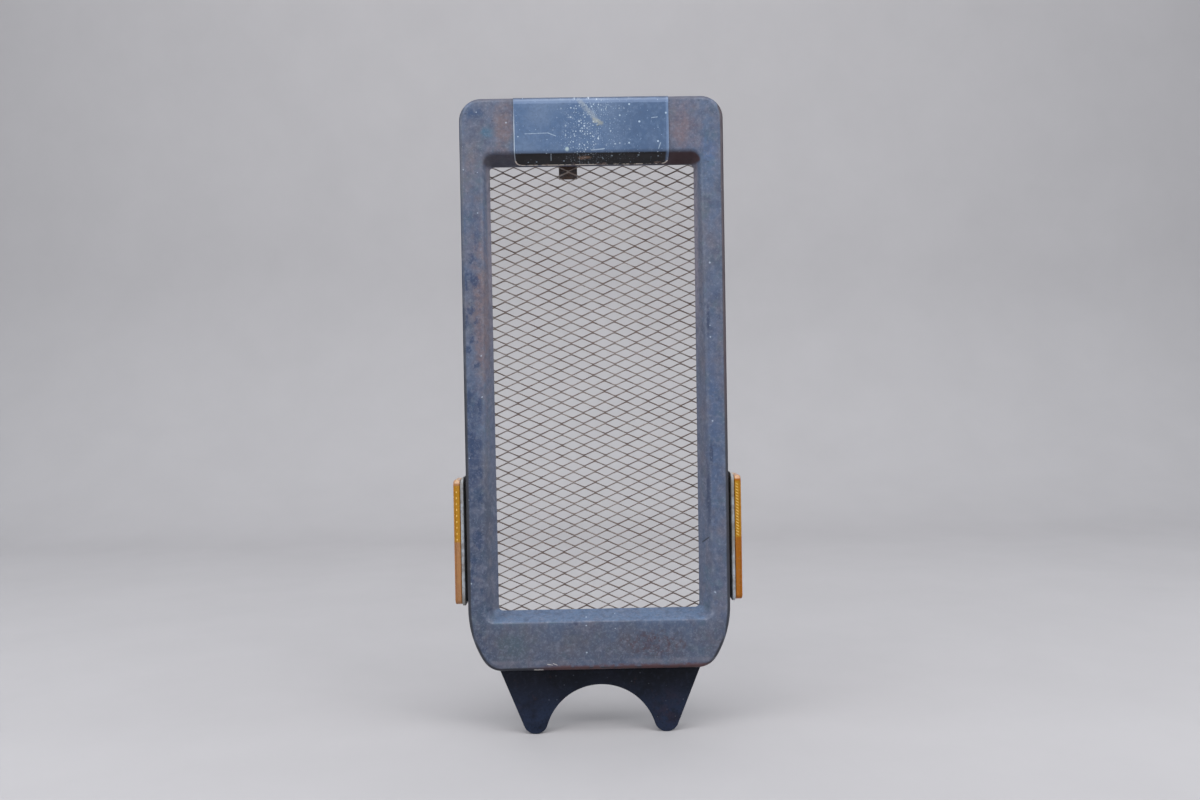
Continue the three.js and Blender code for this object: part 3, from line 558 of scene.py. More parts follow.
def amber_plastic():
    """Amber reflector plastic, brighter and yellower in the prism field as a painted reflection, with painted
    highlights on the prisms and top end, painted shade along its edges, and the right lens painted a deeper
    orange as painted shading.
    """
    look = Finish("amber_lens")
    wide = look.math("ABSOLUTE", look.offset("X"))
    up = look.offset("Z", LENS_MIDDLE)
    field = look.band(up, PRISM_LOW / MM, PRISM_HIGH / MM, 1.2)
    look.base(look.patches(18, 0.5, 1, 0.12), (172, 124, 80), (162, 116, 78))
    # Painted shading: the right lens is a deeper orange than the left, though both are the same part.
    look.layer(look.ramp(look.offset("X"), -10, 10), 0.97, (166, 98, 2))
    # Painted reflection: the prism field is brighter gold.
    look.layer(field, 0.9, (182, 130, 14))
    # Painted highlights on the prisms.
    look.layer((look.attribute("prism"), field), 0.85, (255, 214, 120))
    # Painted highlight on the lens's top end.
    look.layer(look.ramp(up, 41.3, 42.5), 0.6, (226, 190, 160))
    look.mottle(((2, 0.25, 3), 0.2, (132, 104, 70)))
    # Painted shade along the lens's outer and inner edges.
    look.layer(look.ramp(wide, LENS_OUTER / MM - 1.7, LENS_OUTER / MM - 0.2), 0.6, (120, 66, 8))
    look.layer(look.ramp(wide, LENS_INNER / MM + 1.1, LENS_INNER / MM + 0.3), 0.6, (112, 70, 26))
    settings = {"Coat Weight": 0.05, "Specular IOR Level": 0.3, "Coat Roughness": 0.12,
                "Subsurface Weight": 0.15, "Subsurface Scale": 1.0,
                "Subsurface Radius": (0.004, 0.002, 0.0005)}
    for name, value in settings.items():
        look.shader.inputs[name].default_value = value
    return look.done(0.2, 0.34, 10, 1.5, 0.04)


def mottled(name, metallic, base, layers, surface):
    """A finish of patches only. The first and second colour of its base come after the patches' settings."""
    look = Finish(name, metallic)
    settings, first, second = base
    look.base(look.patches(*settings), first, second)
    look.mottle(*layers)
    return look.done(*surface)


def old_metal(name, bare, rust, dark, cover, metallic):
    """Old steel: bare metal, rust in patches and dark pits."""
    base = (13, cover, 1, 0.08, 6, 0.68), bare, rust
    layers = [((3, 0.3, 2, 0.06), 0.45, rust), ((1.5, 0.32, 3, 0.06, 5, 0.7), 0.55, dark)]
    return mottled(name, metallic, base, layers, (0.5, 0.78, 6, 1.4, 0.15))


def zinc_metal():
    """Dull zinc plate with white bloom and a little rust."""
    layers = [((5, 0.2, 2, 0.04, 5, 0.7), 0.7, (118, 78, 52)), ((1.2, 0.3, 3), 0.35, (92, 90, 88))]
    base = (4, 0.5, 1, 0.1), (146, 144, 138), (190, 188, 180)
    return mottled("zinc_steel", 0.7, base, layers, (0.34, 0.6, 4, 1.1, 0.08))


def grey_plastic():
    base = (20, 0.5, 1, 0.1), (168, 174, 180), (142, 140, 136)
    return mottled("grey_plastic", 0, base, [((4, 0.35, 2), 0.5, (104, 98, 92))], (0.36, 0.55, 7, 1.2, 0.1))


def black_rubber():
    base = (7, 0.4, 1, 0.12), (18, 18, 20), (34, 33, 33)
    return mottled("black_rubber", 0, base, [((2.5, 0.2, 2), 0.4, (66, 63, 60))], (0.7, 0.9, 4, 1, 0.12))


# ------------------------------------------------------------------ camera, light and floor

CAMERA_PLACE = Vector((-5.4 * MM, -714.3 * MM, 246.9 * MM))
CAMERA_YAW, CAMERA_PITCH, CAMERA_ROLL = [math.radians(v) for v in (-0.68, -0.80, 0.99)]
FOCAL_LENGTH = 30.0
# The floor's half width, its front edge, where it starts to curve up, the curve's radius, and the wall's top.
FLOOR_HALF, FLOOR_FRONT, CURVE_START, CURVE_RADIUS, WALL_TOP = 9.0, -3.0, 0.9, 0.5, 3.0


def make_camera():
    data = bpy.data.cameras.new("camera")
    data.lens = FOCAL_LENGTH
    data.sensor_width = 36
    data.clip_start = 0.01
    camera = bpy.data.objects.new("camera", data)
    scene.collection.objects.link(camera)
    turn = (Matrix.Rotation(CAMERA_YAW, 4, "Z") @ Matrix.Rotation(CAMERA_PITCH, 4, "X")
            @ Matrix.Rotation(CAMERA_ROLL, 4, "Y") @ Matrix.Rotation(math.radians(90), 4, "X"))
    camera.matrix_world = Matrix.Translation(CAMERA_PLACE) @ turn
    scene.camera = camera


def make_light(name, place, target, size, power, tint):
    data = bpy.data.lights.new(name, "AREA")
    data.shape = "RECTANGLE"
    data.size, data.size_y = size
    data.energy = power
    data.color = tint
    light = bpy.data.objects.new(name, data)
    light.location = place
    light.rotation_euler = (Vector(target) - Vector(place)).to_track_quat("-Z", "Y").to_euler()
    scene.collection.objects.link(light)


def make_studio():
    """Pale floor that sweeps up into a wall far behind the object."""
    profile = [(FLOOR_FRONT, 0.0), (CURVE_START, 0.0)]
    for step in range(1, 13):
        turn = math.radians(step * 7.5)
        profile.append((CURVE_START + CURVE_RADIUS * math.sin(turn), CURVE_RADIUS * (1 - math.cos(turn))))
    profile.append((CURVE_START + CURVE_RADIUS, WALL_TOP))
    vertices = [(x, y, z) for x in (-FLOOR_HALF, FLOOR_HALF) for y, z in profile]
    floor = make_object("floor", vertices, grid_faces(0, 1, len(profile) - 1))
    shade(floor, 60)
    look = Finish("floor_paper")
    look.base(look.noise(120, 1), (170, 168, 170), (178, 176, 178))
    floor.data.materials.append(look.done(0.85, 0.95, 100, 50, 0.2))
    scene.view_settings.view_transform = "Standard"
    make_sky()
    make_light("overhead", (0.0, -1.0, 1.75), (0, 0, 0.22), (2.2, 0.9), 26, (1.0, 0.98, 0.98))
    make_light("left", (-1.5, -0.6, 0.8), (0, 0, 0.25), (1.2, 1.2), 15, (0.94, 0.98, 1.0))
    make_light("right", (1.5, -0.6, 0.8), (0, 0, 0.25), (1.2, 1.2), 15, (0.94, 0.98, 1.0))
    make_light("backdrop", (0.0, 0.5, 2.2), (0, 1.3, 0.3), (2.4, 0.6), 10, (1.0, 0.99, 0.99))


def make_sky():
    """Soft light from all round, stronger from above."""
    world = bpy.data.worlds.new("sky")
    world.use_nodes = True
    nodes, links = world.node_tree.nodes, world.node_tree.links
    parts = nodes.new("ShaderNodeSeparateXYZ")
    links.new(nodes.new("ShaderNodeTexCoord").outputs["Generated"], parts.inputs[0])
    rise = nodes.new("ShaderNodeMapRange")
    for key, limit in {"From Min": -0.2, "From Max": 1.0, "To Min": 0.12, "To Max": 0.7}.items():
        rise.inputs[key].default_value = limit
    links.new(parts.outputs["Z"], rise.inputs["Value"])
    sky = nodes["Background"]
    sky.inputs["Color"].default_value = (0.88, 0.93, 1.0, 1)
    links.new(rise.outputs["Result"], sky.inputs["Strength"])
    scene.world = world


# ------------------------------------------------------------------ shell

SIDE_STEPS, CORNER_STEPS, TOP_STEPS, HIP_STEPS, CHIN_STEPS = 44, 10, 26, 10, 9


def body_loop(inset, depth):
    """The body's outline moved in by `inset`, at a depth behind the front face."""
    hip_z = CHIN + lerp(CORNER_RADIUS, HIP_RADIUS, math.sin(HIP_ANGLE))
    hip_x = HALF_WIDTH - HIP_RADIUS
    chin_x = hip_x + (HIP_RADIUS - CORNER_RADIUS) * math.cos(HIP_ANGLE)
    chin_z = CHIN + CORNER_RADIUS
    corner_x, corner_z = HALF_WIDTH - CORNER_RADIUS, TOP - CORNER_RADIUS
    corner, hip, lean = CORNER_RADIUS - inset, HIP_RADIUS - inset, math.degrees(HIP_ANGLE)
    side = HALF_WIDTH - inset
    points = line((side, hip_z), (side, corner_z), SIDE_STEPS)
    points += arc((corner_x, corner_z), corner, 0, 90, CORNER_STEPS)
    points += line((corner_x, TOP - inset), (-corner_x, TOP - inset), TOP_STEPS)
    points += arc((-corner_x, corner_z), corner, 90, 180, CORNER_STEPS)
    points += line((-side, corner_z), (-side, hip_z), SIDE_STEPS)
    points += arc((-hip_x, hip_z), hip, 180, 180 + lean, HIP_STEPS)
    points += arc((-chin_x, chin_z), corner, 180 + lean, 270, CHIN_STEPS)
    points += line((-chin_x, CHIN + inset), (chin_x, CHIN + inset), TOP_STEPS)
    points += arc((chin_x, chin_z), corner, 270, 360 - lean, CHIN_STEPS)
    points += arc((hip_x, hip_z), hip, 360 - lean, 360, HIP_STEPS)
    return [Vector((x, FRONT + depth, z)) for x, z in points]


def opening_loop(along, outward, depth):
    """The opening's outline part of the way down its wall: 0 at the face and 1 at the mesh."""
    size = {key: lerp(FACE_OPENING[key], MESH_OPENING[key], along) for key in FACE_OPENING}
    out_side, out_top, out_bottom = outward
    half = HALF_WIDTH - size["side"] + out_side
    low, high = CHIN + size["bottom"] - out_bottom, TOP - size["top"] + out_top
    radius = size["radius"] + out_side
    inner, floor, ceiling = half - radius, low + radius, high - radius
    foot = HIP_STEPS + CHIN_STEPS
    points = line((half, floor), (half, ceiling), SIDE_STEPS)
    points += arc((inner, ceiling), radius, 0, 90, CORNER_STEPS)
    points += line((inner, high), (-inner, high), TOP_STEPS)
    points += arc((-inner, ceiling), radius, 90, 180, CORNER_STEPS)
    points += line((-half, ceiling), (-half, floor), SIDE_STEPS)
    points += arc((-inner, floor), radius, 180, 270, foot)
    points += line((-inner, low), (inner, low), TOP_STEPS)
    points += arc((inner, floor), radius, 270, 360, foot)
    loop = []
    for x, z in points:
        widen = 1 + size["spread"] / half * (high - z) / (high - low)
        loop.append(Vector((x * widen, FRONT + depth, z)))
    return loop


def blend_loops(a, b, t):
    return [p.lerp(q, t) for p, q in zip(a, b)]


def shell_loops():
    """Front surface of the pressing, from the rear edge of the skirt to the end of the turned lip."""
    loops = [body_loop(0, depth) for depth in (DEPTH, DEPTH * 0.75, DEPTH * 0.5, DEPTH * 0.25)]
    for step in range(9):
        turn = math.radians(step * 90 / 8)
        loops.append(body_loop(EDGE_RADIUS * (1 - math.cos(turn)), EDGE_RADIUS * (1 - math.sin(turn))))
    face_start, face_end = loops[-1], opening_loop(0, SOFT_EDGE, 0)
    loops += [blend_loops(face_start, face_end, t) for t in (0.12, 0.3, 0.5, 0.7, 0.88)]
    corner, wall_end = opening_loop(0, (0, 0, 0), 0), opening_loop(1, (0, 0, 0), WALL_DEPTH)
    wall_start = blend_loops(corner, wall_end, WALL_SHARE)
    for step in range(9):
        t = step / 8
        loops.append(blend_loops(blend_loops(face_end, corner, t), blend_loops(corner, wall_start, t), t))
    loops += [blend_loops(wall_start, wall_end, t) for t in (0.25, 0.5, 0.75, 0.93, 1)]
    loops += [opening_loop(1, (LIP_WIDTH * t,) * 3, WALL_DEPTH) for t in (0.05, 0.3, 0.65, 1)]
    return loops


def mark_bare(shell):
    """Marks the inside of the pressing: what faces the back, or faces inwards on the skirt."""
    core_inset = 40 * MM
    reach = HALF_WIDTH - core_inset
    bare = []
    for vertex in shell.data.vertices:
        place, normal = vertex.co, vertex.normal
        core_z = min(max(place.z, CHIN + core_inset), TOP - core_inset)
        core = Vector((min(max(place.x, -reach), reach), 0, core_z))
        out = Vector((place.x, 0, place.z)) - core
        inwards = out.length > core_inset - 4 * MM and out.normalized().dot(normal) < -0.3
        backwards = normal.y > 0.6 and place.y > FRONT + 0.8 * MM
        bare.append(1.0 if inwards or backwards else 0.0)
    mark_points(shell, "bare", bare)


def make_shell():
    vertices, faces = join_loops(shell_loops())
    # Pressed sheet is never quite flat: a slow wave of about a tenth of a millimetre in depth.
    waved = []
    for point in vertices:
        wave = noise.noise(point * 22) * 0.16 * MM + noise.noise(point * 60) * 0.05 * MM
        on_face = point.y < FRONT + 3 * MM
        waved.append(point + Vector((0, max(wave, 0) if on_face else 0, 0)))
    shell = make_object("pressed_shell", waved, faces)
    make_sheet(shell, len(shell.data.polygons) // 2, SHEET, True, 0.3 * MM, 2, 60, 50)
    mark_bare(shell)
    add(shell, "faded_paint", "grille_shell")


# ------------------------------------------------------------------ expanded metal

DIAMOND_WIDTH = 15.46 * MM
DIAMOND_HEIGHT = 7.62 * MM
STRAND = 0.74 * MM
BOND_LENGTH = 1.9 * MM
# One of the bonds, where two strands are one.
BOND_X, BOND_Z = -1.24 * MM, 391.8 * MM


def strand_path(row, rng):
    """One strand across the panel: it zigzags and meets its neighbours at the bonds."""
    swing = (DIAMOND_HEIGHT / 2 - STRAND) / 2
    half_pitch = DIAMOND_WIDTH / 2
    z_row = BOND_Z + (row + 0.5) * DIAMOND_HEIGHT / 2
    reach = MESH_HIGH.x - BOND_LENGTH
    first = math.ceil((-reach - BOND_X) / half_pitch)
    last = math.floor((reach - BOND_X) / half_pitch)
    path = []
    for bond in range(first, last + 1):
        x = BOND_X + bond * half_pitch + rng.uniform(-0.07, 0.07) * MM
        level = swing * (-1 if (bond + row) % 2 == 0 else 1) + rng.uniform(-0.05, 0.05) * MM
        for end, height in ((-0.5, 0.84), (0, 1), (0.5, 0.84)):
            path.append((x + end * BOND_LENGTH, z_row + level * height))
    return path


def make_screen():
    rng = random.Random(7)
    bottom = math.ceil((MESH_LOW.z + STRAND - BOND_Z) / (DIAMOND_HEIGHT / 2))
    top = math.floor((MESH_HIGH.z - STRAND - BOND_Z) / (DIAMOND_HEIGHT / 2))
    middle = (MESH_LOW.y + MESH_HIGH.y) / 2
    half_depth = (MESH_HIGH.y - MESH_LOW.y) / 2 - 0.06 * MM
    half = STRAND / 2
    vertices, faces = [], []
    for row in range(bottom, top):
        path = strand_path(row, rng)
        lean = 0.12 * MM if row % 2 else -0.12 * MM
        base = len(vertices)
        for x, z in path:
            sag = rng.uniform(-0.05, 0.05) * MM
            vertices += [
                (x, middle - half_depth, z + half + lean),
                (x, middle - half_depth + 0.12 * MM + sag, z - half + lean),
                (x, middle + half_depth, z - half - lean),
                (x, middle + half_depth - 0.12 * MM + sag, z + half - lean),
            ]
        for step in range(len(path) - 1):
            for side in range(4):
                a = base + step * 4 + side
                b = base + step * 4 + (side + 1) % 4
                faces.append((a, b, b + 4, a + 4))
        faces.append((base, base + 1, base + 2, base + 3))
        end = base + (len(path) - 1) * 4
        faces.append((end, end + 1, end + 2, end + 3))
    screen = make_object("expanded_mesh", vertices, faces)
    shade(screen, 40)
    add(screen, "rusty_mesh", "mesh_screen")


# ------------------------------------------------------------------ plate on the top bar


def top_bar_line():
    """Depth and Z down the front of the top bar, from its rounded edge into the opening."""
    points = []
    for angle in (50, 37, 25, 12, 0):
        turn = math.radians(angle)
        points.append((EDGE_RADIUS * (1 - math.cos(turn)), TOP - EDGE_RADIUS * (1 - math.sin(turn))))
    face_end = TOP - FACE_OPENING["top"] + SOFT_EDGE[1]
    points += [(0, lerp(TOP - EDGE_RADIUS, face_end, t)) for t in (0.15, 0.3, 0.45, 0.6, 0.75, 0.9)]
    corner_z, end_z = TOP - FACE_OPENING["top"], TOP - MESH_OPENING["top"]
    start_depth, start_z = WALL_DEPTH * WALL_SHARE, lerp(corner_z, end_z, WALL_SHARE)
    for step in range(8):
        t = step / 7
        z = lerp(lerp(face_end, corner_z, t), lerp(corner_z, start_z, t), t)
        points.append((start_depth * t * t, z))
    wall_shares = (0.2, 0.4, 0.55, 0.66, 0.75, 0.8)
    points += [(lerp(start_depth, WALL_DEPTH, t), lerp(start_z, end_z, t)) for t in wall_shares]
    return points


def make_badge():
    """A thin plate that follows the top bar. Each point's distance from its rim is kept for the paint."""
    half_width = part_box("badge_plate")[1].x
    surface = top_bar_line()
    lift = 0.28 * MM
    columns = 120
    corner = 5 * MM
    rims = []
    lengths = [0.0]
    for before, after in zip(surface, surface[1:]):
        lengths.append(lengths[-1] + math.dist(before, after))
    vertices = []
    for place, (depth, z) in enumerate(surface):
        before = Vector(surface[max(place - 1, 0)])
        after = Vector(surface[min(place + 1, len(surface) - 1)])
        along = (after - before).normalized()
        depth, z = depth + along.y * lift, z - along.x * lift
        to_end = lengths[-1] - lengths[place]
        missing = max(corner - to_end, 0)
        half = half_width - (corner - math.sqrt(corner * corner - missing * missing))
        for k in range(columns + 1):
            x = lerp(-half, half, k / columns)
            vertices.append((x, FRONT + depth, z))
            corner_x, corner_y = abs(x) - (half_width - corner), corner - to_end
            if corner_x > 0 and corner_y > 0:
                rims.append(max(corner - math.hypot(corner_x, corner_y), 0) / MM)
            else:
                rims.append(min(half_width - abs(x), to_end) / MM)
    badge = make_object("top_plate", vertices, grid_faces(0, len(surface) - 1, columns))
    mark_points(badge, "rim", rims)
    make_sheet(badge, columns * 8, 0.5 * MM, False, 0.12 * MM, 2, 60, 50)
    add(badge, "badge_paint", "badge_plate")


# ------------------------------------------------------------------ apron

EAR_RADIUS = 8.8 * MM
EAR_SIDE = math.radians(22.1)
ARCH_RADIUS = 40 * MM
ARCH_DROP = 5.4 * MM
APRON_SHEET = 1.6 * MM
APRON_BEND = 3 * MM


def make_apron():
    low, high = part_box("apron_plate")
    reach, rise = ARCH_RADIUS + EAR_RADIUS, EAR_RADIUS + ARCH_DROP
    ear_x = math.sqrt(reach * reach - rise * rise)
    lean = math.degrees(math.asin(rise / reach))
    tilt = math.degrees(EAR_SIDE)
    tangent = (ear_x + EAR_RADIUS * math.cos(EAR_SIDE), EAR_RADIUS * (1 - math.sin(EAR_SIDE)))
    bend_z = high.z - APRON_BEND

    def half_width(z):
        return tangent[0] + (z - tangent[1]) * math.tan(EAR_SIDE)

    outline = line((-half_width(bend_z), bend_z), (-tangent[0], tangent[1]), 8)
    outline += arc((-ear_x, EAR_RADIUS), EAR_RADIUS, 180 + tilt, 360 - lean, 26)
    outline += arc((0, -ARCH_DROP), ARCH_RADIUS, 180 - lean, lean, 56)
    outline += arc((ear_x, EAR_RADIUS), EAR_RADIUS, 180 + lean, 360 - tilt, 26)
    outline += line((tangent[0], tangent[1]), (half_width(bend_z), bend_z), 8)
    outline.append((half_width(bend_z), bend_z))
    vertices = [Vector((x, low.y, z)) for x, z in outline]
    faces = [tuple(range(len(vertices)))]
    # The bend and the flange go back from the top edge in strips.
    strips = []
    for angle in (15, 30, 45, 60, 75, 90):
        turn = math.radians(angle)
        strips.append((low.y + APRON_BEND * (1 - math.cos(turn)), bend_z + APRON_BEND * math.sin(turn)))
    strips.append((high.y, high.z))
    left, right = 0, len(vertices) - 1
    for y, z in strips:
        half = half_width(z)
        vertices += [Vector((-half, y, z)), Vector((half, y, z))]
        faces.append((left, right, len(vertices) - 1, len(vertices) - 2))
        left, right = len(vertices) - 2, len(vertices) - 1
    apron = make_object("apron", vertices, faces)
    make_sheet(apron, 0, APRON_SHEET, True, 0.45 * MM, 3, 50, 40)
    add(apron, "apron_paint", "apron_plate")


# ------------------------------------------------------------------ reflectors


def frame_points(columns, rows):
    """Places round the edge of a grid, from -1 to 1 both ways, in order."""
    points = [(-1 + 2 * k / columns, -1.0) for k in range(columns)]
    points += [(1.0, -1 + 2 * k / rows) for k in range(rows)]
    points += [(1 - 2 * k / columns, 1.0) for k in range(columns)]
    points += [(-1.0, 1 - 2 * k / rows) for k in range(rows)]
    return points


def soft_corner(u, v, half_y, half_z, radius):
    """A place on the edge of a rectangle, moved onto its rounded corners."""
    y, z = u * half_y, v * half_z
    core_y = max(min(y, half_y - radius), radius - half_y)
    core_z = max(min(z, half_z - radius), radius - half_z)
    core = Vector((core_y, core_z))
    offset = Vector((y, z)) - core
    if abs(offset.x) > 1e-9 and abs(offset.y) > 1e-9:
        offset = offset.normalized() * radius
    return core + offset


def side_place(direction, x, y, z, centre):
    """A point given outwards from the skirt, across and up, on the left or right side."""
    return Vector((direction * x, centre.y + y, centre.z + z))


def side_box(node):
    """A node's middle and half sizes, and how far its near and far side are from the middle plane."""
    low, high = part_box(node)
    return (low + high) / 2, (high - low) / 2, *sorted((abs(low.x), abs(high.x)))


WALL_PRISM = 0.35 * MM
PRISM_PITCH = 2.1 * MM
LENS_EDGE = 1.1 * MM


def lens_field(across, up):
    """How far the moulded face stands out: small pyramids in the prism field, faint ripples below."""
    if PRISM_LOW < up < PRISM_HIGH:
        shift = 0.5 if math.floor(up / PRISM_PITCH) % 2 else 0.0
        from_middle_y = abs((across / PRISM_PITCH + shift) % 1 - 0.5) * 2
        from_middle_z = abs((up / PRISM_PITCH) % 1 - 0.5) * 2
        return 0.45 * MM * (1 - max(from_middle_y, from_middle_z))
    return 0.06 * MM * math.cos(up / (1.5 * MM) * math.pi)


def wall_prism(side, up, share):
    """Height, 0 to 1, of the prisms in a lens's side wall: beads on the left, slanting ribs on the right."""
    if not PRISM_LOW < up < PRISM_HIGH:
        return 0.0
    if side == "left":
        along = (up / (2 * PRISM_PITCH)) % 1 - 0.5
        return max(0.0, 1 - (along / 0.22) ** 2 - ((share - 0.68) / 0.17) ** 2)
    along = (up / PRISM_PITCH + share * 0.9) % 1
    window = max(0.0, 1 - ((share - 0.46) / 0.36) ** 2)
    return window * max(0.0, 1 - abs(along - 0.5) / 0.3)


def make_lens(side, direction):
    centre, half, inner, outer = side_box(f"reflector_lens_{side}")
    half_y, half_z = half.y, half.z
    thick = outer - inner
    columns, rows = 40, 260
    frame_line = frame_points(columns, rows)

    def wall_loop(inset, radius, height, share=None):
        loop = []
        for u, v in frame_line:
            place = soft_corner(u, v, half_y - inset, half_z - inset, radius)
            y = place.x
            if share is not None:
                side_wall = abs(abs(y) - (half_y - inset)) < 1e-6
                rise = wall_prism(side, place.y, share) if side_wall else 0.0
                y -= math.copysign((1 - rise) * WALL_PRISM, y)
            loop.append(side_place(direction, inner + height, y, place.y, centre))
        return loop

    wall_foot, wall_head = 0.35 * MM, thick - LENS_EDGE
    loops = [wall_loop(0.5 * MM, 3.6 * MM, 0), wall_loop(0, 4 * MM, wall_foot)]
    for step in range(1, 17):
        share = step / 17
        loops.append(wall_loop(0, 4 * MM, lerp(wall_foot, wall_head, share), share))
    for step in range(6):
        turn = math.radians(step * 18)
        inset = LENS_EDGE * (1 - math.cos(turn))
        loops.append(wall_loop(inset, 4 * MM - inset, wall_head + LENS_EDGE * math.sin(turn)))
    loops.append(wall_loop(2.0 * MM, 2.0 * MM, thick))
    loops.append(wall_loop(2.3 * MM, 1.5 * MM, thick - 0.35 * MM))
    field_inset = 2.6 * MM
    loops.append(wall_loop(field_inset, 0.0001 * MM, thick - 0.4 * MM))
    vertices, faces = join_loops(loops)
    faces.append(tuple(range(len(frame_line))))
    # The moulded field is a fine grid whose rim is the last loop.
    start = len(vertices)
    for row in range(rows + 1):
        for column in range(columns + 1):
            y = (-1 + 2 * column / columns) * (half_y - field_inset)
            z = (-1 + 2 * row / rows) * (half_z - field_inset)
            rim = row in (0, rows) or column in (0, columns)
            rise = 0.0 if rim else lens_field(y, z)
            vertices.append(side_place(direction, inner + thick - 0.4 * MM + rise, y, z, centre))
    lens = make_object(f"lens_{side}", vertices, faces + grid_faces(start, rows, columns))
    values = []
    for vertex in lens.data.vertices:
        across, up = vertex.co.y - centre.y, vertex.co.z - centre.z
        share = (abs(vertex.co.x) - inner - wall_foot) / (wall_head - wall_foot)
        if share < 1 and abs(across) > half_y - 1.1 * WALL_PRISM:
            values.append(wall_prism(side, up, share))
        else:
            values.append(0.9 * max(0.0, lens_field(across, up)) / MM)
    mark_points(lens, "prism", values)
    merge_points(lens.data, 2e-6)
    shade(lens, 24)
    add(lens, "amber_lens", f"reflector_lens_{side}")


def make_pad(name, node, direction, outline_radius, profile, hood=0.0):
    """A flat moulding on the side: profile rows are (inset, share of the thickness)."""
    centre, half, inner, outer = side_box(node)
    frame_line = frame_points(12, 30)
    loops = []
    for inset, share in profile:
        loop = []
        radius = max(outline_radius - inset, 0.2 * MM)
        for u, v in frame_line:
            place = soft_corner(u, v, half.y - inset, half.z - inset, radius)
            rise = hood * (1 - share) ** 2 if place.y > half.z * 0.9 else 0.0
            loop.append(side_place(direction, lerp(inner, outer, share), place.x, place.y + rise, centre))
        loops.append(loop)
    obj = make_object(name, *join_loops(loops, caps=True))
    shade(obj, 40)
    return obj


def thread_profile(radius, start, end, pitch):
    """A coarse thread along a rod, as (radius, place) pairs."""
    points = []
    place = start
    while place + pitch < end:
        points += [(radius - 0.32, place), (radius, place + pitch * 0.5)]
        place += pitch
    return points + [(radius - 0.32, place)]


def make_hardware(side, direction):
    """The reflector's stud, washer and nut inside the skirt, in millimetres."""
    centre, half, inner, outer = [value / MM for value in side_box(f"reflector_stud_{side}")]
    centre.x = 0
    radius, head = 2.5, half.z
    rod = [(0, inner), (radius - 0.6, inner)]
    rod += thread_profile(radius, inner + 0.3, inner + 10, 0.8)
    rod += [(radius, outer - 1.2), (head - 0.2, outer - 1.2), (head, outer - 0.9), (head, outer - 0.3),
            (head - 0.4, outer), (0, outer)]
    stud = turned(f"stud_{side}", [(r, direction * p) for r, p in rod], centre, "X", 28, closed=False)
    add(stud, "zinc_steel", f"reflector_stud_{side}")

    _, half, inner, outer = [value / MM for value in side_box(f"reflector_washer_{side}")]
    wide = half.y
    ring = [(2.75, inner + 0.15), (2.9, inner), (wide - 0.2, inner), (wide, inner + 0.2),
            (wide, outer - 0.1), (wide - 0.1, outer), (2.75, outer)]
    washer = turned(f"washer_{side}", [(r, direction * p) for r, p in ring], centre, "X", 40)
    add(washer, "zinc_steel", f"reflector_washer_{side}")

    _, half, inner, outer = [value / MM for value in side_box(f"reflector_nut_{side}")]
    flat, chamfer = half.z, 0.45
    rows = [(2.6, inner + 0.3, 0), (2.95, inner, 0), (flat - 0.1, inner, 0), (flat, inner + chamfer, 1),
            (flat, outer - chamfer, 1), (flat - 0.1, outer, 0), (2.95, outer, 0), (2.6, outer - 0.3, 0)]
    loops = []
    for reach, place, hexed in rows:
        loop = []
        for step in range(48):
            turn = step / 48 * math.tau
            corner = 1 / math.cos((turn + math.pi / 6) % (math.pi / 3) - math.pi / 6)
            out = reach * (corner if hexed else 1)
            offset = Vector((direction * place, out * math.sin(turn), out * math.cos(turn)))
            loop.append((centre + offset) * MM)
        loops.append(loop)
    nut = make_object(f"nut_{side}", *join_loops(loops, closed=True))
    shade(nut, 25)
    add(nut, "zinc_steel", f"reflector_nut_{side}")


def make_reflector(side, direction):
    make_lens(side, direction)
    base_rows = [(0.6 * MM, 0), (0, 0.16), (0, 0.5), (0, 0.84), (0.35 * MM, 1.0)]
    base = make_pad(f"base_{side}", f"reflector_base_{side}", direction, 4.5 * MM, base_rows, 1.6 * MM)
    add(base, "grey_plastic", f"reflector_base_{side}")
    pad_rows = [(0.2 * MM, 0), (0, 0.25), (0.25 * MM, 0.5), (0, 0.75), (0.2 * MM, 1.0)]
    pad = make_pad(f"gasket_{side}", f"reflector_gasket_{side}", direction, 3 * MM, pad_rows)
    add(pad, "black_rubber", f"reflector_gasket_{side}")
    make_hardware(side, direction)


# ------------------------------------------------------------------ rivets, grommets and collars


MOUNT_PLACES = [f"{level}_{side}" for level in ("upper", "lower") for side in ("left", "right")]


def rivet_rows(front, rear, shank, radius):
    """Profile of a rivet with one domed head and one flat upset head, in millimetres."""
    head_height = 1.1
    under_front, under_rear = front + head_height, rear - head_height
    rows = [(0, front)]
    for angle in (75, 55, 35, 15):
        turn = math.radians(angle)
        rows.append((radius * math.cos(turn), lerp(under_front, front, math.sin(turn))))
    rows += [(radius, under_front), (shank, under_front), (shank, under_rear), (radius * 0.94, under_rear)]
    upset = [(1, 0.35), (0.82, 0.85), (0.4, 1), (0.3, 0.7), (0, 0.6)]
    return rows + [(radius * out, lerp(under_rear, rear, share)) for out, share in upset]


def make_rivets():
    rivets = [(f"mesh_rivet_{number}", f"mesh_fixing_{number}", "Y", 1.2, 24) for number in range(1, 11)]
    for place in ("left", "centre", "right"):
        rivets.append((f"apron_rivet_{place}", f"apron_fixing_{place}", "Z", 1.68, 28))
    for node, name, axis, shank, segments in rivets:
        low, high = box_mm(node)
        along = "XYZ".index(axis)
        rows = rivet_rows(low[along], high[along], shank, (high.x - low.x) / 2)
        centre = (low + high) / 2
        centre[along] = 0
        add(turned(name, rows, centre, axis, segments, closed=False), "zinc_steel", node)


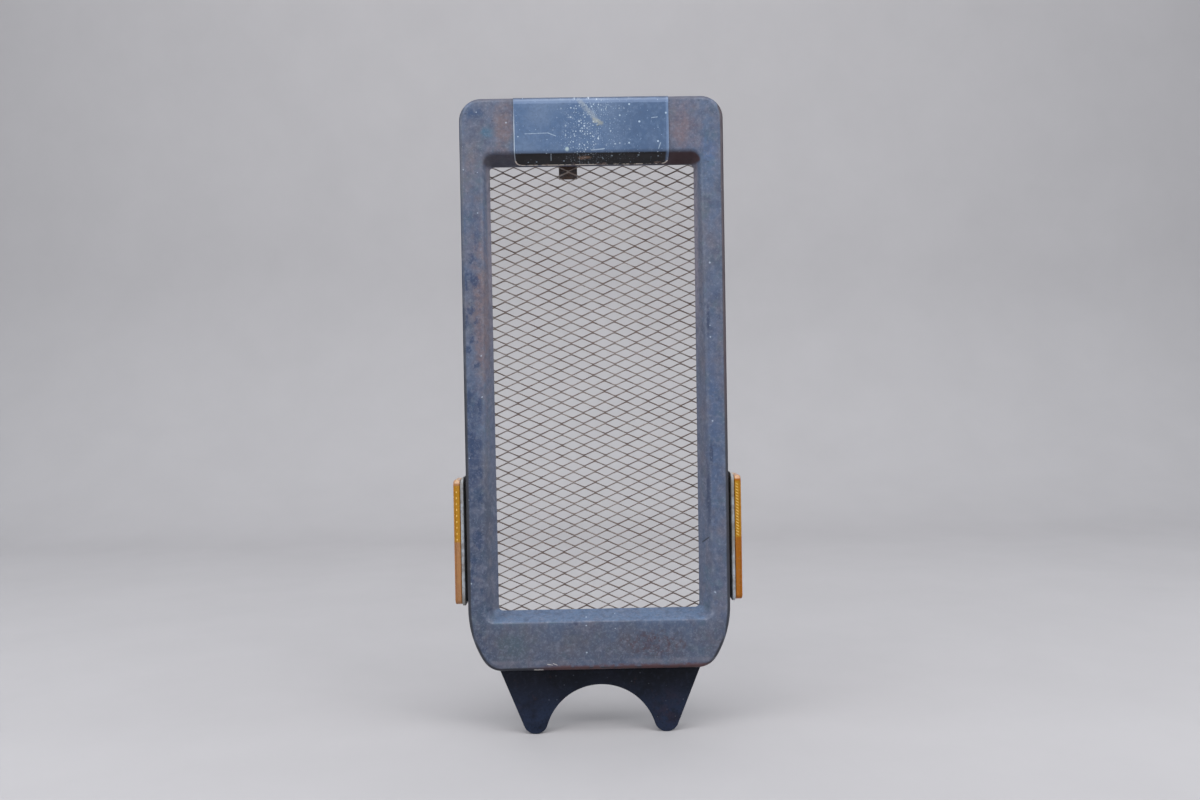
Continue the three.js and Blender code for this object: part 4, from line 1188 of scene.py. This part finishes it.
def make_mounts():
    """A rubber grommet in each tab, with a steel collar in its bore."""
    tab_rear = box_mm("mount_tab_upper_left")[1].y
    tab_front = tab_rear - SHEET / MM
    for place in MOUNT_PLACES:
        low, high = box_mm(f"mount_grommet_{place}")
        centre = Vector(((low.x + high.x) / 2, 0, (low.z + high.z) / 2))
        wide, groove, bore = (high.x - low.x) / 2, 4.8, 4.2
        rows = [(bore, low.y + 0.2), (bore + 0.3, low.y), (wide - 0.9, low.y + 0.1),
                (wide - 0.3, low.y + 0.4), (wide, low.y + 0.9), (wide, tab_front - 0.8),
                (wide - 0.3, tab_front - 0.3), (groove, tab_front - 0.3), (groove, tab_rear + 0.3),
                (wide - 0.3, tab_rear + 0.3), (wide, tab_rear + 0.6), (wide, high.y - 0.6),
                (wide - 0.5, high.y - 0.15), (bore + 0.3, high.y), (bore, high.y - 0.2)]
        grommet = turned(f"grommet_{place}", rows, centre, "Y", 44)
        add(grommet, "black_rubber", f"mount_grommet_{place}")
        low, high = box_mm(f"mount_collar_{place}")
        wide, outer, bore = (high.x - low.x) / 2, 3.9, 3.1
        rows = [(bore, low.y + 0.25), (bore + 0.25, low.y), (wide - 0.25, low.y), (wide, low.y + 0.25),
                (wide, low.y + 0.8), (wide - 0.2, low.y + 1.0), (outer + 0.2, low.y + 1.0),
                (outer, low.y + 1.2), (outer, high.y - 0.15), (outer - 0.15, high.y),
                (bore + 0.2, high.y), (bore, high.y - 0.2)]
        collar = turned(f"collar_{place}", rows, centre, "Y", 44)
        add(collar, "zinc_steel", f"mount_collar_{place}")


# ------------------------------------------------------------------ CAD nodes that keep their shape


def dress_nodes():
    """Brackets and strips keep their CAD shape, with their sheared edges rounded."""
    names = [f"mount_tab_{place}" for place in MOUNT_PLACES]
    names += [f"mesh_retainer_{side}" for side in ("top", "bottom", "left", "right")]
    names.append("top_hanger_bracket")
    for name in names:
        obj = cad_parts[name]
        obj.data.materials.clear()
        obj.data.materials.append(MATERIALS["rusty_steel"])
        round_edges(obj, 0.3 * MM, 3, 40)


# ------------------------------------------------------------------ assembly

make_camera()
make_studio()
MATERIALS = {
    "faded_paint": faded_paint(),
    "badge_paint": badge_paint(),
    "apron_paint": apron_paint(),
    "rusty_mesh": old_metal("rusty_mesh", (142, 133, 128), (110, 96, 89), (78, 67, 62), 0.45, 0.2),
    "rusty_steel": old_metal("rusty_steel", (84, 80, 84), (98, 78, 68), (52, 44, 44), 0.42, 0.3),
    "zinc_steel": zinc_metal(),
    "amber_lens": amber_plastic(),
    "grey_plastic": grey_plastic(),
    "black_rubber": black_rubber(),
}
make_shell()
make_screen()
make_badge()
make_apron()
for reflector_side, reflector_direction in (("left", -1), ("right", 1)):
    make_reflector(reflector_side, reflector_direction)
make_rivets()
make_mounts()
dress_nodes()
